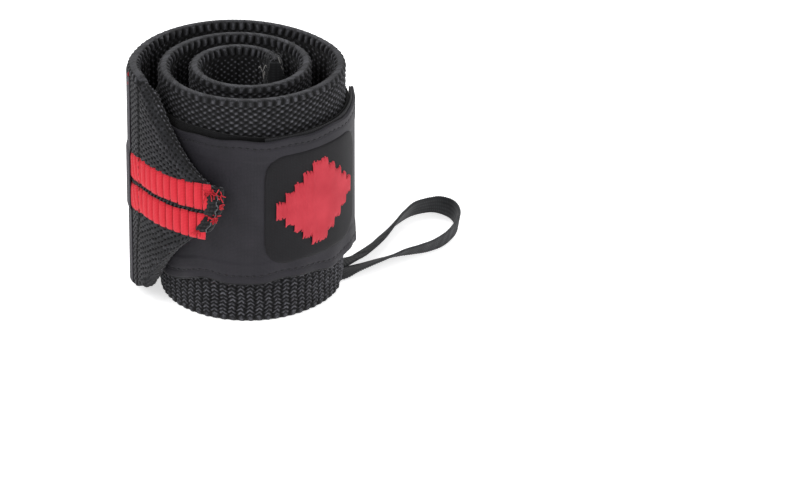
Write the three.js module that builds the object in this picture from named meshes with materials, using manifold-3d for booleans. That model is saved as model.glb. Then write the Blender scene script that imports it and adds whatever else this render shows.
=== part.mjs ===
// A lifter's wrist wrap, rolled up and standing on its edge.
//
// A strip of thick elastic webbing with two red stripes is rolled about three
// times round an open core. Its outer end is folded to an arrow point, and a
// smooth fastening tab sewn under the point runs on round the front, where the
// hook tape behind it grips a loop patch on the turn below. The inner end is
// bound with tape, and a thumb loop of the same tape runs from it along the
// floor, under the turns, and out to the right and the back.
//
// Millimetres, +Z up. The front, with the tab, faces -Y. While it is built, the
// roll's axis is x = 0, y = 0. At the end the part is moved so that the origin
// is the middle of its underside.
import * as THREE from "three";
import { mergeVertices } from "three/addons/utils/BufferGeometryUtils.js";
import Module from "manifold-3d";

const wasm = await Module();
wasm.setup();

// Clearance kept between two pieces that touch on the real wrap.
const GAP = 0.3;
// Angle between two stations along the roll, and a whole turn, in degrees.
const STEP_DEG = 7.5;
const TURN = 360;

// Elastic webbing. rim is how far its woven edge is rounded, on the face and
// on the edge.
const band = { width: 76, thick: 3.4, rim: 1.0 };

// The roll, seen from above. Angles in degrees count anticlockwise from the
// right, so 90 is the back, 180 the left and 270 the front, and they go on
// growing turn by turn. coreRadius is the webbing's outer face at angle 0,
// growth what a turn adds, and loosening what each turn adds to that.
const roll = {
  coreRadius: 11.9,
  growth: 9.07,
  loosening: 0.22,
  innerEndTop: 12,
  innerEndBottom: -8,
  shoulder: 930,
  tip: 978.5,
};

// Places where the roll isn't round: how far its face stands out there, or in
// where it is negative, and over how many degrees to either side.
const bulges = [
  { at: 716, out: 0.9, reach: 50 },
  { at: 780, out: -0.8, reach: 50 },
  { at: 902, out: -0.6, reach: 62 },
];

// Folded point at the outer end: the height of its blunt tip, over how many
// degrees it is blunt above and below and how many it leans by, and the corners
// of webbing folded behind it.
const point = {
  tipHeight: 15.5,
  bluntUpper: 4.7,
  bluntLower: 7.5,
  lean: 3.8,
  foldThick: 2.4,
  foldInset: 0.7,
  foldShort: 5,
};

// Row of dense stitching across the tip.
const tack = { length: 4.2, endMargin: 0.4, thick: 0.6 };

// The outer end rides up a little as it comes round to the front.
const ride = { lower: 7, upper: 2.4, from: 885, upperFrom: 880 };

// Two woven stripes at mid-width, and how deep and how proud they lie.
const stripe = { width: 8.6, between: 2.2, thick: 0.6, proud: 0.15 };

// Loop patch by its place along the roll, label by how far it lies past the
// patch, and hook tape by how far past the tip, all in degrees.
const patch = { width: 46, thick: 1.0, from: 527, to: 802 };
const label = { past: 83, span: 26, thick: 0.35, edgeMargin: 1 };
const hook = { width: 45, thick: 0.9, pastTip: 24, endMargin: 1.5 };

// Fastening tab: it leaves the point, hugs the front, a little slack off the
// patch, and runs straight past the angle straightFrom. Its middle rides above
// the middle of the webbing at its two ends.
const tab = {
  width: 48.5,
  thick: 0.9,
  slack: 0.1,
  pastShoulder: 3,
  straightFrom: 1086,
  straightLength: 3.5,
  rideAtPoint: 2.0,
  rideAtEnd: 2.9,
};

// Dark patch on the tab, and the stepped red lozenge on it, centred at an angle
// of the roll.
const emblem = { at: 1034, width: 37, height: 37, corner: 7, thick: 0.35 };
const lozenge = { width: 30, height: 29, bars: 5, thick: 0.35 };

// Tape of the thumb loop and of the bound inner end.
const tape = { width: 7, thick: 1.0 };
const binding = { leg: 7, endMargin: 0.6, slack: 0.5 };

// The lower edge of the webbing arches over the two runs of tape on the floor.
const arch = { height: 1.5, halfWidth: 8.4, fade: 5 };

// The thumb loop's centreline, from the face of the inner end, round the loop
// and back. lift is how far the tape hangs above the floor. across and tilt aim
// its width: the direction in plan, and the rise from the floor, in degrees.
const loopRoute = [
  { x: 14.1, y: -3, lift: 11.5, across: -102, tilt: 0 },
  { x: 14.1, y: -3, lift: 6.5, across: -102, tilt: 0 },
  { x: 14.5, y: -3, lift: 2.5, across: -100, tilt: 0 },
  { x: 17, y: -2.4, lift: 0, across: -82, tilt: 0 },
  { x: 24, y: -0.3, lift: 0, across: -74, tilt: 0 },
  { x: 31, y: 1.6, lift: 0, across: -68, tilt: 2 },
  { x: 35.5, y: 3.9, lift: 0, across: -64, tilt: 14 },
  { x: 40, y: 6.2, lift: 0, across: -64, tilt: 23 },
  { x: 44.5, y: 8.9, lift: 0, across: -62, tilt: 29 },
  { x: 48, y: 10.7, lift: 0, across: -62, tilt: 35 },
  { x: 51.2, y: 12.2, lift: 0, across: -62, tilt: 42 },
  { x: 56, y: 13.9, lift: 0, across: -60, tilt: 49 },
  { x: 60.4, y: 15.9, lift: 0, across: -58, tilt: 57 },
  { x: 66, y: 21.2, lift: 0, across: -50, tilt: 70 },
  { x: 70.6, y: 33, lift: 0, across: -40, tilt: 80 },
  { x: 68.9, y: 41.4, lift: 0, across: -40, tilt: 76 },
  { x: 64, y: 44.6, lift: 0, across: -40, tilt: 68 },
  { x: 57, y: 42.1, lift: 0, across: -40, tilt: 68 },
  { x: 52.3, y: 36.1, lift: 0, across: -40, tilt: 61 },
  { x: 49, y: 30.1, lift: 0, across: -40, tilt: 54 },
  { x: 47, y: 26.4, lift: 0, across: -40, tilt: 45 },
  { x: 44, y: 20.6, lift: 0, across: -40, tilt: 38 },
  { x: 40, y: 14.9, lift: 0, across: -44, tilt: 30 },
  { x: 36, y: 10.3, lift: 0, across: -52, tilt: 24 },
  { x: 31, y: 8.7, lift: 0, across: -66, tilt: 2 },
  { x: 24, y: 8.6, lift: 0, across: -70, tilt: 0 },
  { x: 16.8, y: 7, lift: 0, across: -68, tilt: 0 },
  { x: 14.2, y: 6.2, lift: 2.5, across: -66, tilt: 0 },
  { x: 13.8, y: 6.1, lift: 6.5, across: -66, tilt: 0 },
  { x: 13.8, y: 6.1, lift: 11.5, across: -66, tilt: 0 },
];
const LOOP_STEPS = 84;

const COLOURS = {
  webbing: 0x2b2b2d,
  stripe: 0xd9262f,
  tab: 0x313135,
  pile: 0x141417,
  hooks: 0x1d1d20,
  label: 0x262629,
  tape: 0x2e2f31,
  emblem: 0x28282c,
  lozenge: 0xd64451,
  tack: 0x242426,
};

const lerp = THREE.MathUtils.lerp;
const smooth = THREE.MathUtils.smoothstep;
const radians = THREE.MathUtils.degToRad;
const midWidth = band.width / 2;

// Radius of the webbing's outer face at an angle of the roll.
function faceRadius(angle) {
  const turns = angle / TURN;
  const spiral = roll.coreRadius + roll.growth * turns + roll.loosening * turns * turns;
  return bulges.reduce((radius, { at, out, reach }) => {
    return radius + out * (1 - smooth(Math.abs(angle - at), 0, reach));
  }, spiral);
}

// A point at an angle and a radius, at height z.
function polar(angle, radius, z) {
  const a = radians(angle);
  return new THREE.Vector3(radius * Math.cos(a), radius * Math.sin(a), z);
}

// Places where the tape crosses under the webbing: the line between the exits
// of the two runs, seen from above.
const crossing = {
  from: middle(loopRoute.at(3), loopRoute.at(-4)),
  to: middle(loopRoute.at(5), loopRoute.at(-6)),
};

function middle(a, b) {
  return new THREE.Vector2((a.x + b.x) / 2, (a.y + b.y) / 2);
}

// How far the lower edge lifts to clear the tape, at a place in plan.
function archLift(x, y) {
  const along = crossing.to.clone().sub(crossing.from).normalize();
  const away = new THREE.Vector2(x, y).sub(crossing.from);
  if (away.dot(along) < -crossing.from.length() / 2) return 0;
  const aside = Math.abs(away.cross(along));
  return arch.height * (1 - smooth(aside, arch.halfWidth, arch.halfWidth + arch.fade));
}

// Height above the floor of a place v up the webbing's width.
function webbingHeight(angle, v, x, y) {
  const low = ride.lower * smooth(angle, ride.from, roll.shoulder);
  const high = ride.upper * smooth(angle, ride.upperFrom, roll.shoulder);
  const share = v / band.width;
  const lift = lerp(low + archLift(x, y), high, share);
  return v + lift;
}

// A place on the webbing: angle along it, v up its width, and depth outward
// from its outer face.
function onWebbing(angle, v, depth) {
  const p = polar(angle, faceRadius(angle) + depth, 0);
  p.z = webbingHeight(angle, v, p.x, p.y);
  return p;
}

// Half the height of the folded point at an angle, above or below its middle as
// side is +1 or -1.
function pointHalfHeight(angle, side) {
  const blunt = side > 0 ? point.bluntUpper : point.bluntLower;
  const share = (angle - roll.shoulder) / (roll.tip - blunt - roll.shoulder);
  return lerp(midWidth, point.tipHeight / 2, Math.min(1, share));
}

// The slanted inner end: its angle at a place v up the width.
function innerEnd(v) {
  return lerp(roll.innerEndBottom, roll.innerEndTop, v / band.width);
}

// The leaning tip: its angle at a place v up the width.
function outerEnd(v) {
  const share = THREE.MathUtils.clamp((v - midWidth) / (point.tipHeight / 2), -1, 1);
  return roll.tip + point.lean * share;
}

// The angle that a length takes up on the webbing's face at an angle.
function angleOf(length, angle) {
  return THREE.MathUtils.radToDeg(length / faceRadius(angle));
}

// A strip: a flat section, drawn up its width and outward, is extruded and
// each of its points is then laid in place by lay(v, depth, share), where
// share runs from 0 to 1 along the strip.
function strip(outline, steps, lay) {
  const shape = new THREE.Shape(outline.map(([v, depth]) => new THREE.Vector2(v, depth)));
  const geometry = new THREE.ExtrudeGeometry(shape, {
    depth: 1,
    steps,
    bevelEnabled: false,
  });
  const at = geometry.getAttribute("position");
  for (let i = 0; i < at.count; i++) {
    const p = lay(at.getX(i), at.getY(i), at.getZ(i));
    at.setXYZ(i, p.x, p.y, p.z);
  }
  geometry.deleteAttribute("normal");
  geometry.deleteAttribute("uv");
  return mergeVertices(geometry, 1e-4);
}

function rectangle(v0, v1, depth0, depth1) {
  return [
    [v0, depth0],
    [v1, depth0],
    [v1, depth1],
    [v0, depth1],
  ];
}

// Stations between two angles of the roll.
function stations(from, to) {
  return Math.max(1, Math.round((to - from) / STEP_DEG));
}

function solidOf(geometry) {
  return new wasm.Manifold(
    new wasm.Mesh({
      numProp: 3,
      vertProperties: geometry.getAttribute("position").array,
      triVerts: new Uint32Array(geometry.index.array),
    }),
  );
}

function geometryOf(solid) {
  const { vertProperties, triVerts } = solid.getMesh();
  return new THREE.BufferGeometry()
    .setAttribute("position", new THREE.BufferAttribute(vertProperties, 3))
    .setIndex(new THREE.BufferAttribute(triVerts, 1));
}

// Lower edges of the two stripes on the webbing, up its width.
const stripeEdges = [
  midWidth - stripe.between / 2 - stripe.width,
  midWidth + stripe.between / 2,
];

// Section of the webbing: rounded rims, and a channel for each stripe.
function webbingSection() {
  const { width, thick, rim } = band;
  const channel = stripe.thick + GAP - stripe.proud;
  const face = stripeEdges.flatMap((low) => [
    [low, 0],
    [low, -channel],
    [low + stripe.width, -channel],
    [low + stripe.width, 0],
  ]);
  return [
    [0, -rim],
    [rim, 0],
    ...face,
    [width - rim, 0],
    [width, -rim],
    [width, rim - thick],
    [width - rim, -thick],
    [rim, -thick],
    [0, rim - thick],
  ];
}

// What is cut off above or below the folded point. side is +1 or -1.
function cornerCutter(side) {
  const beyond = roll.tip + point.lean + STEP_DEG / 2;
  const depths = [-band.thick - point.foldThick - 1, stripe.proud + 1];
  return solidOf(
    strip(
      rectangle(0, 1, ...depths),
      2 * stations(roll.shoulder, beyond),
      (outer, depth, share) => {
        const angle = lerp(roll.shoulder, beyond, share);
        const near = side > 0 ? outer : 1 - outer;
        const reach = lerp(pointHalfHeight(angle, side), midWidth + band.rim, near);
        return onWebbing(angle, midWidth + side * reach, depth);
      },
    ),
  );
}

const corners = [cornerCutter(1), cornerCutter(-1)];

// Trims a strip of the webbing to the folded point.
function trimmed(geometry) {
  return corners.reduce((solid, cutter) => solid.subtract(cutter), solidOf(geometry));
}

// A strip that follows the webbing from its inner end to its tip, less a margin
// in degrees at either.
function fullLength(outline, startMargin, endMargin) {
  return strip(outline, stations(roll.innerEndTop, roll.tip), (v, depth, share) => {
    const angle = lerp(innerEnd(v) + startMargin, outerEnd(v) - endMargin, share);
    return onWebbing(angle, v, depth);
  });
}

// The two corners of webbing folded back behind the point, meeting at its
// middle.
function foldedCorners() {
  const end = roll.tip - point.foldShort;
  const into = 0.4;
  const outline = rectangle(-1, 1, into - band.thick, -band.thick - point.foldThick);
  return solidOf(
    strip(outline, stations(roll.shoulder, end), (side, depth, share) => {
      const angle = lerp(roll.shoulder, end, share);
      const half = pointHalfHeight(angle, side) - point.foldInset;
      return onWebbing(angle, midWidth + side * half, depth);
    }),
  );
}

function elasticBand() {
  return geometryOf(trimmed(fullLength(webbingSection(), 0, 0)).add(foldedCorners()));
}

// What the bound end and the stitching at the tip leave free of the stripes, in
// degrees.
const bindingAngle = angleOf(binding.leg + tape.thick + binding.slack, roll.innerEndTop);
const tackAngle = angleOf(tack.endMargin + tack.length + GAP, roll.tip);

function wovenStripe(low) {
  const outline = rectangle(
    low + GAP,
    low + stripe.width - GAP,
    stripe.proud - stripe.thick,
    stripe.proud,
  );
  return geometryOf(trimmed(fullLength(outline, bindingAngle, tackAngle)));
}

function barTack() {
  const half = point.tipHeight / 2 - GAP;
  const outline = rectangle(midWidth - half, midWidth + half, GAP, GAP + tack.thick);
  const lengths = [tack.endMargin + tack.length, tack.endMargin];
  const margins = lengths.map((length) => angleOf(length, roll.tip));
  return strip(outline, 2, (v, depth, share) =>
    onWebbing(outerEnd(v) - lerp(...margins, share), v, depth),
  );
}

// A piece sewn on the face, over the stripes, between two angles.
function sewnOn(from, to, v0, v1, thick) {
  const inner = stripe.proud + GAP;
  return strip(rectangle(v0, v1, inner, inner + thick), stations(from, to), (v, depth, share) =>
    onWebbing(lerp(from, to, share), v, depth),
  );
}

function loopPatch() {
  const low = midWidth - patch.width / 2;
  return sewnOn(patch.from, patch.to, low, low + patch.width, patch.thick);
}

function wovenLabel() {
  const from = patch.to + label.past;
  const top = band.width - label.edgeMargin;
  return sewnOn(from, from + label.span, label.edgeMargin, top, label.thick);
}

// How far the tab's outer face lies outside the face of the turn below it: over
// the patch alone under the point, and over the hook tape as well after it.
const tabFrom = roll.shoulder + tab.pastShoulder;
const hookFrom = roll.tip + hook.pastTip;

function tabStandOff(angle) {
  const overPatch = stripe.proud + GAP + patch.thick + GAP + tab.thick;
  const overHooks = overPatch + hook.thick + GAP + tab.slack;
  return lerp(overPatch, overHooks, smooth(angle, roll.tip, hookFrom));
}

// A place on the tab: s along it from its sewn end, v up its width, and depth
// outward from its outer face.
const tabRadius = faceRadius((tabFrom + tab.straightFrom) / 2 - TURN) + tabStandOff(hookFrom);
const tabCurve = radians(tab.straightFrom - tabFrom) * tabRadius;
const tabLength = tabCurve + tab.straightLength;

function tabFace(angle) {
  return faceRadius(angle - TURN) + tabStandOff(angle);
}

function onTab(s, v, depth) {
  const angle = Math.min(tab.straightFrom, lerp(tabFrom, tab.straightFrom, s / tabCurve));
  const p = polar(angle, tabFace(angle) + depth, 0);
  const past = Math.max(0, s - tabCurve);
  const before = polar(angle - 1, tabFace(angle - 1) + depth, 0);
  p.addScaledVector(p.clone().sub(before).normalize(), past);
  const rise = lerp(tab.rideAtPoint, tab.rideAtEnd, s / tabLength);
  p.z = midWidth + rise - tab.width / 2 + v;
  return p;
}

// How far along the tab an angle of the roll lies.
function alongTab(angle) {
  return (tabCurve * (angle - tabFrom)) / (tab.straightFrom - tabFrom);
}

function tabPiece(v0, v1, depth0, depth1, from, to) {
  const steps = Math.round((to - from) / radians(STEP_DEG) / tabRadius);
  return strip(rectangle(v0, v1, depth0, depth1), steps, (v, depth, share) =>
    onTab(lerp(from, to, share), v, depth),
  );
}

function fasteningTab() {
  return tabPiece(0, tab.width, -tab.thick, 0, 0, tabLength);
}

function hookTape() {
  const margin = (tab.width - hook.width) / 2;
  const start = alongTab(hookFrom);
  const top = -tab.thick - GAP;
  return tabPiece(margin, tab.width - margin, top - hook.thick, top, start, tabLength - hook.endMargin);
}

// A flat piece on the tab's face: halfHeight(share) gives half its height at a
// share of its width.
function onTabFace(width, low, thick, halfHeight) {
  const centre = alongTab(emblem.at);
  return strip(rectangle(-1, 1, low, low + thick), 30, (side, depth, share) =>
    onTab(centre + (share - 0.5) * width, tab.width / 2 + side * halfHeight(share), depth),
  );
}

function emblemPatch() {
  const { width, height, corner, thick } = emblem;
  return onTabFace(width, GAP, thick, (share) => {
    const fromEnd = Math.min(share, 1 - share) * width;
    const short = Math.max(0, 1 - fromEnd / corner);
    return height / 2 - corner * (1 - Math.sqrt(1 - short * short));
  });
}

// The lozenge steps up bar by bar to its middle and down again.
function emblemLozenge() {
  const { width, height, bars, thick } = lozenge;
  return onTabFace(width, GAP + emblem.thick + GAP, thick, (share) => {
    const step = Math.ceil((1 - Math.abs(2 * share - 1)) * bars + 0.01);
    return ((height / 2) * Math.min(bars, step)) / bars;
  });
}

// Tape folded over the inner end: a U seen from above, run up the slanted edge.
// Its legs bend with the webbing, so each is drawn in short lengths.
function endBinding() {
  const outside = binding.slack + tape.thick;
  const inside = -band.thick - binding.slack - tape.thick;
  const leg = [0, 1, 2, 3, 4].map((k) => lerp(-binding.slack, binding.leg, k / 4));
  const back = [...leg].reverse();
  const outline = [
    [inside, -binding.slack - tape.thick],
    [outside, -binding.slack - tape.thick],
    ...leg.map((along) => [outside, along]),
    ...back.map((along) => [binding.slack, along]),
    ...leg.map((along) => [-band.thick - binding.slack, along]),
    ...back.map((along) => [inside, along]),
  ];
  return strip(outline, 6, (depth, along, share) => {
    const v = lerp(binding.endMargin, band.width - binding.endMargin, share);
    const turned = THREE.MathUtils.radToDeg(along / faceRadius(innerEnd(v)));
    return onWebbing(innerEnd(v) + turned, v, depth);
  });
}

// The thumb loop: tape laid along its route, resting on its lower edge wherever
// it isn't lifted.
function thumbLoop() {
  const line = new THREE.CatmullRomCurve3(loopRoute.map((p) => new THREE.Vector3(p.x, p.y, p.lift)));
  const aim = new THREE.CatmullRomCurve3(
    loopRoute.map(({ across, tilt }) => polar(across, Math.cos(radians(tilt)), Math.sin(radians(tilt)))),
  );
  const half = { width: tape.width / 2, thick: tape.thick / 2 };
  const outline = rectangle(-half.width, half.width, -half.thick, half.thick);
  return strip(outline, LOOP_STEPS, (across, through, share) => {
    const t = line.getUtoTmapping(share);
    const along = line.getTangent(t);
    const width = aim.getPoint(t);
    width.addScaledVector(along, -along.dot(width)).normalize();
    const normal = along.clone().cross(width);
    const p = line.getPoint(t);
    p.z = Math.max(0, p.z) + half.width * Math.abs(width.z) + half.thick * Math.hypot(width.x, width.y);
    return p.addScaledVector(width, across).addScaledVector(normal, through);
  });
}

function piece(name, geometry, colour, roughness) {
  geometry.computeVertexNormals();
  const material = new THREE.MeshStandardMaterial({ color: colour, roughness, metalness: 0 });
  const mesh = new THREE.Mesh(geometry, material);
  mesh.name = name;
  return mesh;
}

const wrap = new THREE.Group();
wrap.add(
  piece("elastic_band", elasticBand(), COLOURS.webbing, 0.9),
  piece("stripe_lower", wovenStripe(stripeEdges[0]), COLOURS.stripe, 0.75),
  piece("stripe_upper", wovenStripe(stripeEdges[1]), COLOURS.stripe, 0.75),
  piece("bar_tack", barTack(), COLOURS.tack, 0.8),
  piece("loop_patch", loopPatch(), COLOURS.pile, 1.0),
  piece("woven_label", wovenLabel(), COLOURS.label, 0.7),
  piece("fastening_tab", fasteningTab(), COLOURS.tab, 0.65),
  piece("hook_tape", hookTape(), COLOURS.hooks, 0.8),
  piece("emblem_patch", emblemPatch(), COLOURS.emblem, 0.6),
  piece("emblem_lozenge", emblemLozenge(), COLOURS.lozenge, 0.7),
  piece("end_binding", endBinding(), COLOURS.tape, 0.85),
  piece("thumb_loop", thumbLoop(), COLOURS.tape, 0.85),
);

// The origin is the middle of the box's underside.
const box = new THREE.Box3().setFromObject(wrap);
const centre = box.getCenter(new THREE.Vector3());
wrap.position.set(-centre.x, -centre.y, -box.min.z);

const part = new THREE.Group();
part.add(wrap);
export default part;
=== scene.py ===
# %% [markdown]
# # A rolled wrist wrap
# A lifter's wrist wrap is a long strip of thick elastic webbing. Here it is rolled up and stands
# on its edge. The webbing's knuckled weave, two red ribbed stripes, a smooth fastening tab and a
# loop of tape for the thumb are what the eye meets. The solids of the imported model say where
# each piece is, and this lesson gives each one its real surface.

import math

import bpy
import numpy as np
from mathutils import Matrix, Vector


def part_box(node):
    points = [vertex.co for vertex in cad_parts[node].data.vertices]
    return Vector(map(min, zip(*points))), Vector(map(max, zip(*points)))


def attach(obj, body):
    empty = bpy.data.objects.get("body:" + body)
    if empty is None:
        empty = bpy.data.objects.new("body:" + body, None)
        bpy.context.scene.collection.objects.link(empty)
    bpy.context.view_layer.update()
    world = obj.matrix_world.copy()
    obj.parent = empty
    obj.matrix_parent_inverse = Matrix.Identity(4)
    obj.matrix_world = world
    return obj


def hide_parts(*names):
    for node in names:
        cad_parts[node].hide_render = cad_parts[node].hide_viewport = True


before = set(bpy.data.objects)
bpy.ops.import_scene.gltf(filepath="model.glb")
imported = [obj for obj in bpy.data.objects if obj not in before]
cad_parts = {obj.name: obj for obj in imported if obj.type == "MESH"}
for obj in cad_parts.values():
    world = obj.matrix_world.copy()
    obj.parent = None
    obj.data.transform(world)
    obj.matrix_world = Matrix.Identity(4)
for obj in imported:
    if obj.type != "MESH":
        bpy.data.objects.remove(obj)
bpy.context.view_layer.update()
print("solids:", ", ".join(sorted(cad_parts)))

# %% [markdown]
# ## Where things are
# The webbing is a spiral seen from above. Its radius grows with the angle, so one formula places
# every thread on it: an angle along the roll, a height up the width, and a depth out from the
# outer face. Lengths are in millimetres here and turn to metres when a mesh is made. The roll's
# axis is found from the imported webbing: its rightmost place is two turns from the start.

# %% The wrap's sizes
MM = 0.001
WIDTH, THICK = 76.0, 3.4
CORE, GROWTH, LOOSENING = 11.9, 9.07, 0.22
INNER_TOP, INNER_BOTTOM = 12.0, -8.0
SHOULDER, TIP = 930.0, 978.5
TIP_HEIGHT, BLUNT_UPPER, BLUNT_LOWER, TIP_LEAN, FOLD_THICK = 15.5, 4.7, 7.5, 3.8, 2.4
BULGES = [(716, 0.9, 50), (780, -0.8, 50), (902, -0.6, 62)]
MIDDLE = WIDTH / 2


def smooth(x, start, end):
    """0 before start, 1 after end, and an even rise between."""
    t = np.clip((x - start) / (end - start), 0, 1)
    return t * t * (3 - 2 * t)


def mix(a, b, t):
    return a + (b - a) * t


def face_radius(angle):
    """Radius of the webbing's outer face at an angle in degrees, counted on turn by turn."""
    turns = angle / 360
    bulge = sum(out * (1 - smooth(np.abs(angle - at), 0, reach)) for at, out, reach in BULGES)
    return CORE + GROWTH * turns + LOOSENING * turns * turns + bulge


def furthest(start, end, share_of):
    """How far the outer face reaches from the axis along x (np.cos) or y (np.sin)."""
    turn = np.radians(np.arange(start, end, 1.0))
    return np.max(face_radius(np.degrees(turn)) * share_of(turn))


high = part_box("elastic_band")[1]
AXIS = np.array([high.x / MM, high.y / MM])
AXIS -= (furthest(690, 750, np.cos), furthest(780, 840, np.sin))
print("roll axis at", AXIS.round(2), "mm")

# %% [markdown]
# The webbing rides up by a few millimetres near its outer end, and its lower edge arches over
# the tape of the thumb loop. `on_webbing` knows both, so whatever is sewn to the webbing follows
# them without being told.

# %% Places on the webbing
CROSS_FROM, CROSS_TO = np.array([16.9, 2.3]), np.array([31.0, 5.15])
ARCH_HEIGHT, ARCH_HALF, ARCH_FADE = 1.5, 8.4, 5.0
# How far an edge rides up, and the angles where that starts and ends.
LOWER_RISES, UPPER_RISE = [(4.2, 892, 925), (2.8, 919, 932)], (2.4, 880, SHOULDER)


def rising(angle, rises):
    return sum(rise * smooth(angle, start, end) for rise, start, end in rises)


def arch_lift(x, y):
    along = (CROSS_TO - CROSS_FROM) / np.linalg.norm(CROSS_TO - CROSS_FROM)
    dx, dy = x - CROSS_FROM[0], y - CROSS_FROM[1]
    aside = np.abs(dx * along[1] - dy * along[0])
    near = dx * along[0] + dy * along[1] > -np.linalg.norm(CROSS_FROM) / 2
    return ARCH_HEIGHT * (1 - smooth(aside, ARCH_HALF, ARCH_HALF + ARCH_FADE)) * near


def on_webbing(angle, v, depth):
    """Points in millimetres for arrays of angles, heights up the width and depths."""
    angle, v, depth = np.broadcast_arrays(*(np.asarray(q, float) for q in (angle, v, depth)))
    a = np.radians(angle)
    radius = face_radius(angle) + depth
    x, y = radius * np.cos(a), radius * np.sin(a)
    lift_low = rising(angle, LOWER_RISES) + arch_lift(x, y)
    z = v + mix(lift_low, rising(angle, [UPPER_RISE]), np.clip(v / WIDTH, 0, 1))
    return np.stack([x + AXIS[0], y + AXIS[1], z], -1)


# Length along the outer face, and back from a length to an angle.
ANGLES = np.arange(-40, 1120, 0.5)
LENGTHS = np.concatenate([[0], np.cumsum(face_radius(ANGLES[:-1] + 0.25) * math.radians(0.5))])


def length_at(angle):
    return np.interp(angle, ANGLES, LENGTHS)


def angle_at(length):
    return np.interp(length, LENGTHS, ANGLES)


print("webbing length:", round(float(length_at(TIP) - length_at(0))), "mm")

# %% [markdown]
# ## Meshes from rows of points
# Most pieces here are rows of points: cross-sections one after the other. One function turns
# such rows into a mesh, closes the ends, and keeps the cloth's own coordinates as a UV map in
# millimetres, so that a weave follows the cloth round every bend. Every finished piece rides on
# the one body.

# %% Turn rows of points into a mesh
def mesh_object(name, points, faces, material, uv=None, values=None):
    """points in millimetres, faces as index lists; uv is a list of pairs for each point."""
    mesh = bpy.data.meshes.new(name)
    mesh.from_pydata((np.asarray(points) * MM).tolist(), [], faces)
    if uv is not None:
        corners = np.zeros(len(mesh.loops), np.int32)
        mesh.loops.foreach_get("vertex_index", corners)
        layer = mesh.uv_layers.new(name="cloth")
        layer.data.foreach_set("uv", np.asarray(uv, np.float32)[corners].ravel())
    for label, data in (values or {}).items():
        attribute = mesh.attributes.new(label, "FLOAT", "POINT")
        attribute.data.foreach_set("value", np.asarray(data, np.float32).ravel())
    mesh.polygons.foreach_set("use_smooth", np.ones(len(mesh.polygons), bool))
    mesh.materials.append(material)
    mesh.validate()
    obj = bpy.data.objects.new(name, mesh)
    bpy.context.scene.collection.objects.link(obj)
    return obj


def tube_faces(rows, across, closed=True, caps=True):
    """Quads between rows of points, each row a closed loop, and a fan over each end."""
    faces = []
    last = across if closed else across - 1
    for i in range(rows - 1):
        for j in range(last):
            k = (j + 1) % across
            a, b = i * across, (i + 1) * across
            faces.append((a + j, b + j, b + k, a + k))
    if caps:
        faces.append(tuple(range(across)))
        faces.append(tuple(reversed(range((rows - 1) * across, rows * across))))
    return faces


def tube(name, rows, material, uv=None, values=None, closed=True, caps=True):
    """rows is an array of sections, points and x, y, z, in an order that faces outwards."""
    rows = np.asarray(rows, float)
    faces = tube_faces(*rows.shape[:2], closed, caps)
    flat = None if uv is None else np.asarray(uv, float).reshape(-1, 2)
    return mesh_object(name, rows.reshape(-1, 3), faces, material, flat, values)


def bundle(name, strands, material):
    """One mesh of many closed tubes, each a pair of rows and their cloth coordinates."""
    points, faces, uv = [], [], []
    begin = 0
    for rows, flat in strands:
        faces += [tuple(i + begin for i in f) for f in tube_faces(*rows.shape[:2])]
        points.append(rows.reshape(-1, 3))
        uv.append(flat.reshape(-1, 2))
        begin += len(points[-1])
    return mesh_object(name, np.concatenate(points), faces, material, np.concatenate(uv))


def two_faced(name, outer, inner, material, uv):
    """A closed skin of an outer and an inner grid of points that share cloth coordinates."""
    rows = np.concatenate([outer, inner[:, ::-1]], 1)
    return tube(name, rows, material, np.concatenate([uv, uv[:, ::-1]], 1))


def keep(obj):
    """Fixes a finished piece to the body and prints its size."""
    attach(obj, "root")
    print(obj.name, sum(len(p.vertices) - 2 for p in obj.data.polygons), "triangles")
    return obj


def grid(a, b):
    """Pairs of a column's and a row's values, as cloth coordinates."""
    return np.stack(np.broadcast_arrays(a, b), -1)


def full_turn(points):
    return np.linspace(0, 2 * math.pi, points, endpoint=False)


# %% [markdown]
# ## Materials
# A colour given here is an sRGB value, and a shader wants linear light, so one function
# converts. Another adds a node with its settings and its links, which keeps each material short.

# %% Helpers for materials
def linear(code):
    """Linear RGBA of an sRGB hex colour such as "2b2b2d"."""
    channels = [int(code[i : i + 2], 16) / 255 for i in (0, 2, 4)]
    return [c / 12.92 if c <= 0.04045 else ((c + 0.055) / 1.055) ** 2.4 for c in channels] + [1]


def add(tree, kind, inputs=None, **settings):
    """A node of that kind. An input's value is a number, a colour or another node's output."""
    node = tree.nodes.new(kind)
    for key, value in settings.items():
        setattr(node, key, value)
    for key, value in (inputs or {}).items():
        if isinstance(value, bpy.types.NodeSocket):
            tree.links.new(value, node.inputs[key])
        else:
            node.inputs[key].default_value = value
    return node


def new_material(name):
    material = bpy.data.materials.new(name)
    material.use_nodes = True
    material.node_tree.nodes.clear()
    return material, material.node_tree


def finish_material(tree, level, tones, inputs):
    """The end of a material: a ramp of (level, colour) tones, the shader and the output."""
    ramp = add(tree, "ShaderNodeValToRGB", {"Fac": level})
    stops = ramp.color_ramp.elements
    for stop, (position, tone) in zip(stops, tones[:2]):
        stop.position, stop.color = position, linear(tone)
    for position, tone in tones[2:]:
        stops.new(position).color = linear(tone)
    inputs = {"Base Color": ramp.outputs["Color"], **inputs}
    shader = add(tree, "ShaderNodeBsdfPrincipled", inputs)
    add(tree, "ShaderNodeOutputMaterial", {"Surface": shader.outputs["BSDF"]})


def ridged(tree, height, strength, distance):
    """A bump's normal for ridges that stand `distance` mm high."""
    inputs = {"Height": height, "Strength": strength, "Distance": distance * MM}
    return add(tree, "ShaderNodeBump", inputs).outputs["Normal"]
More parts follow.
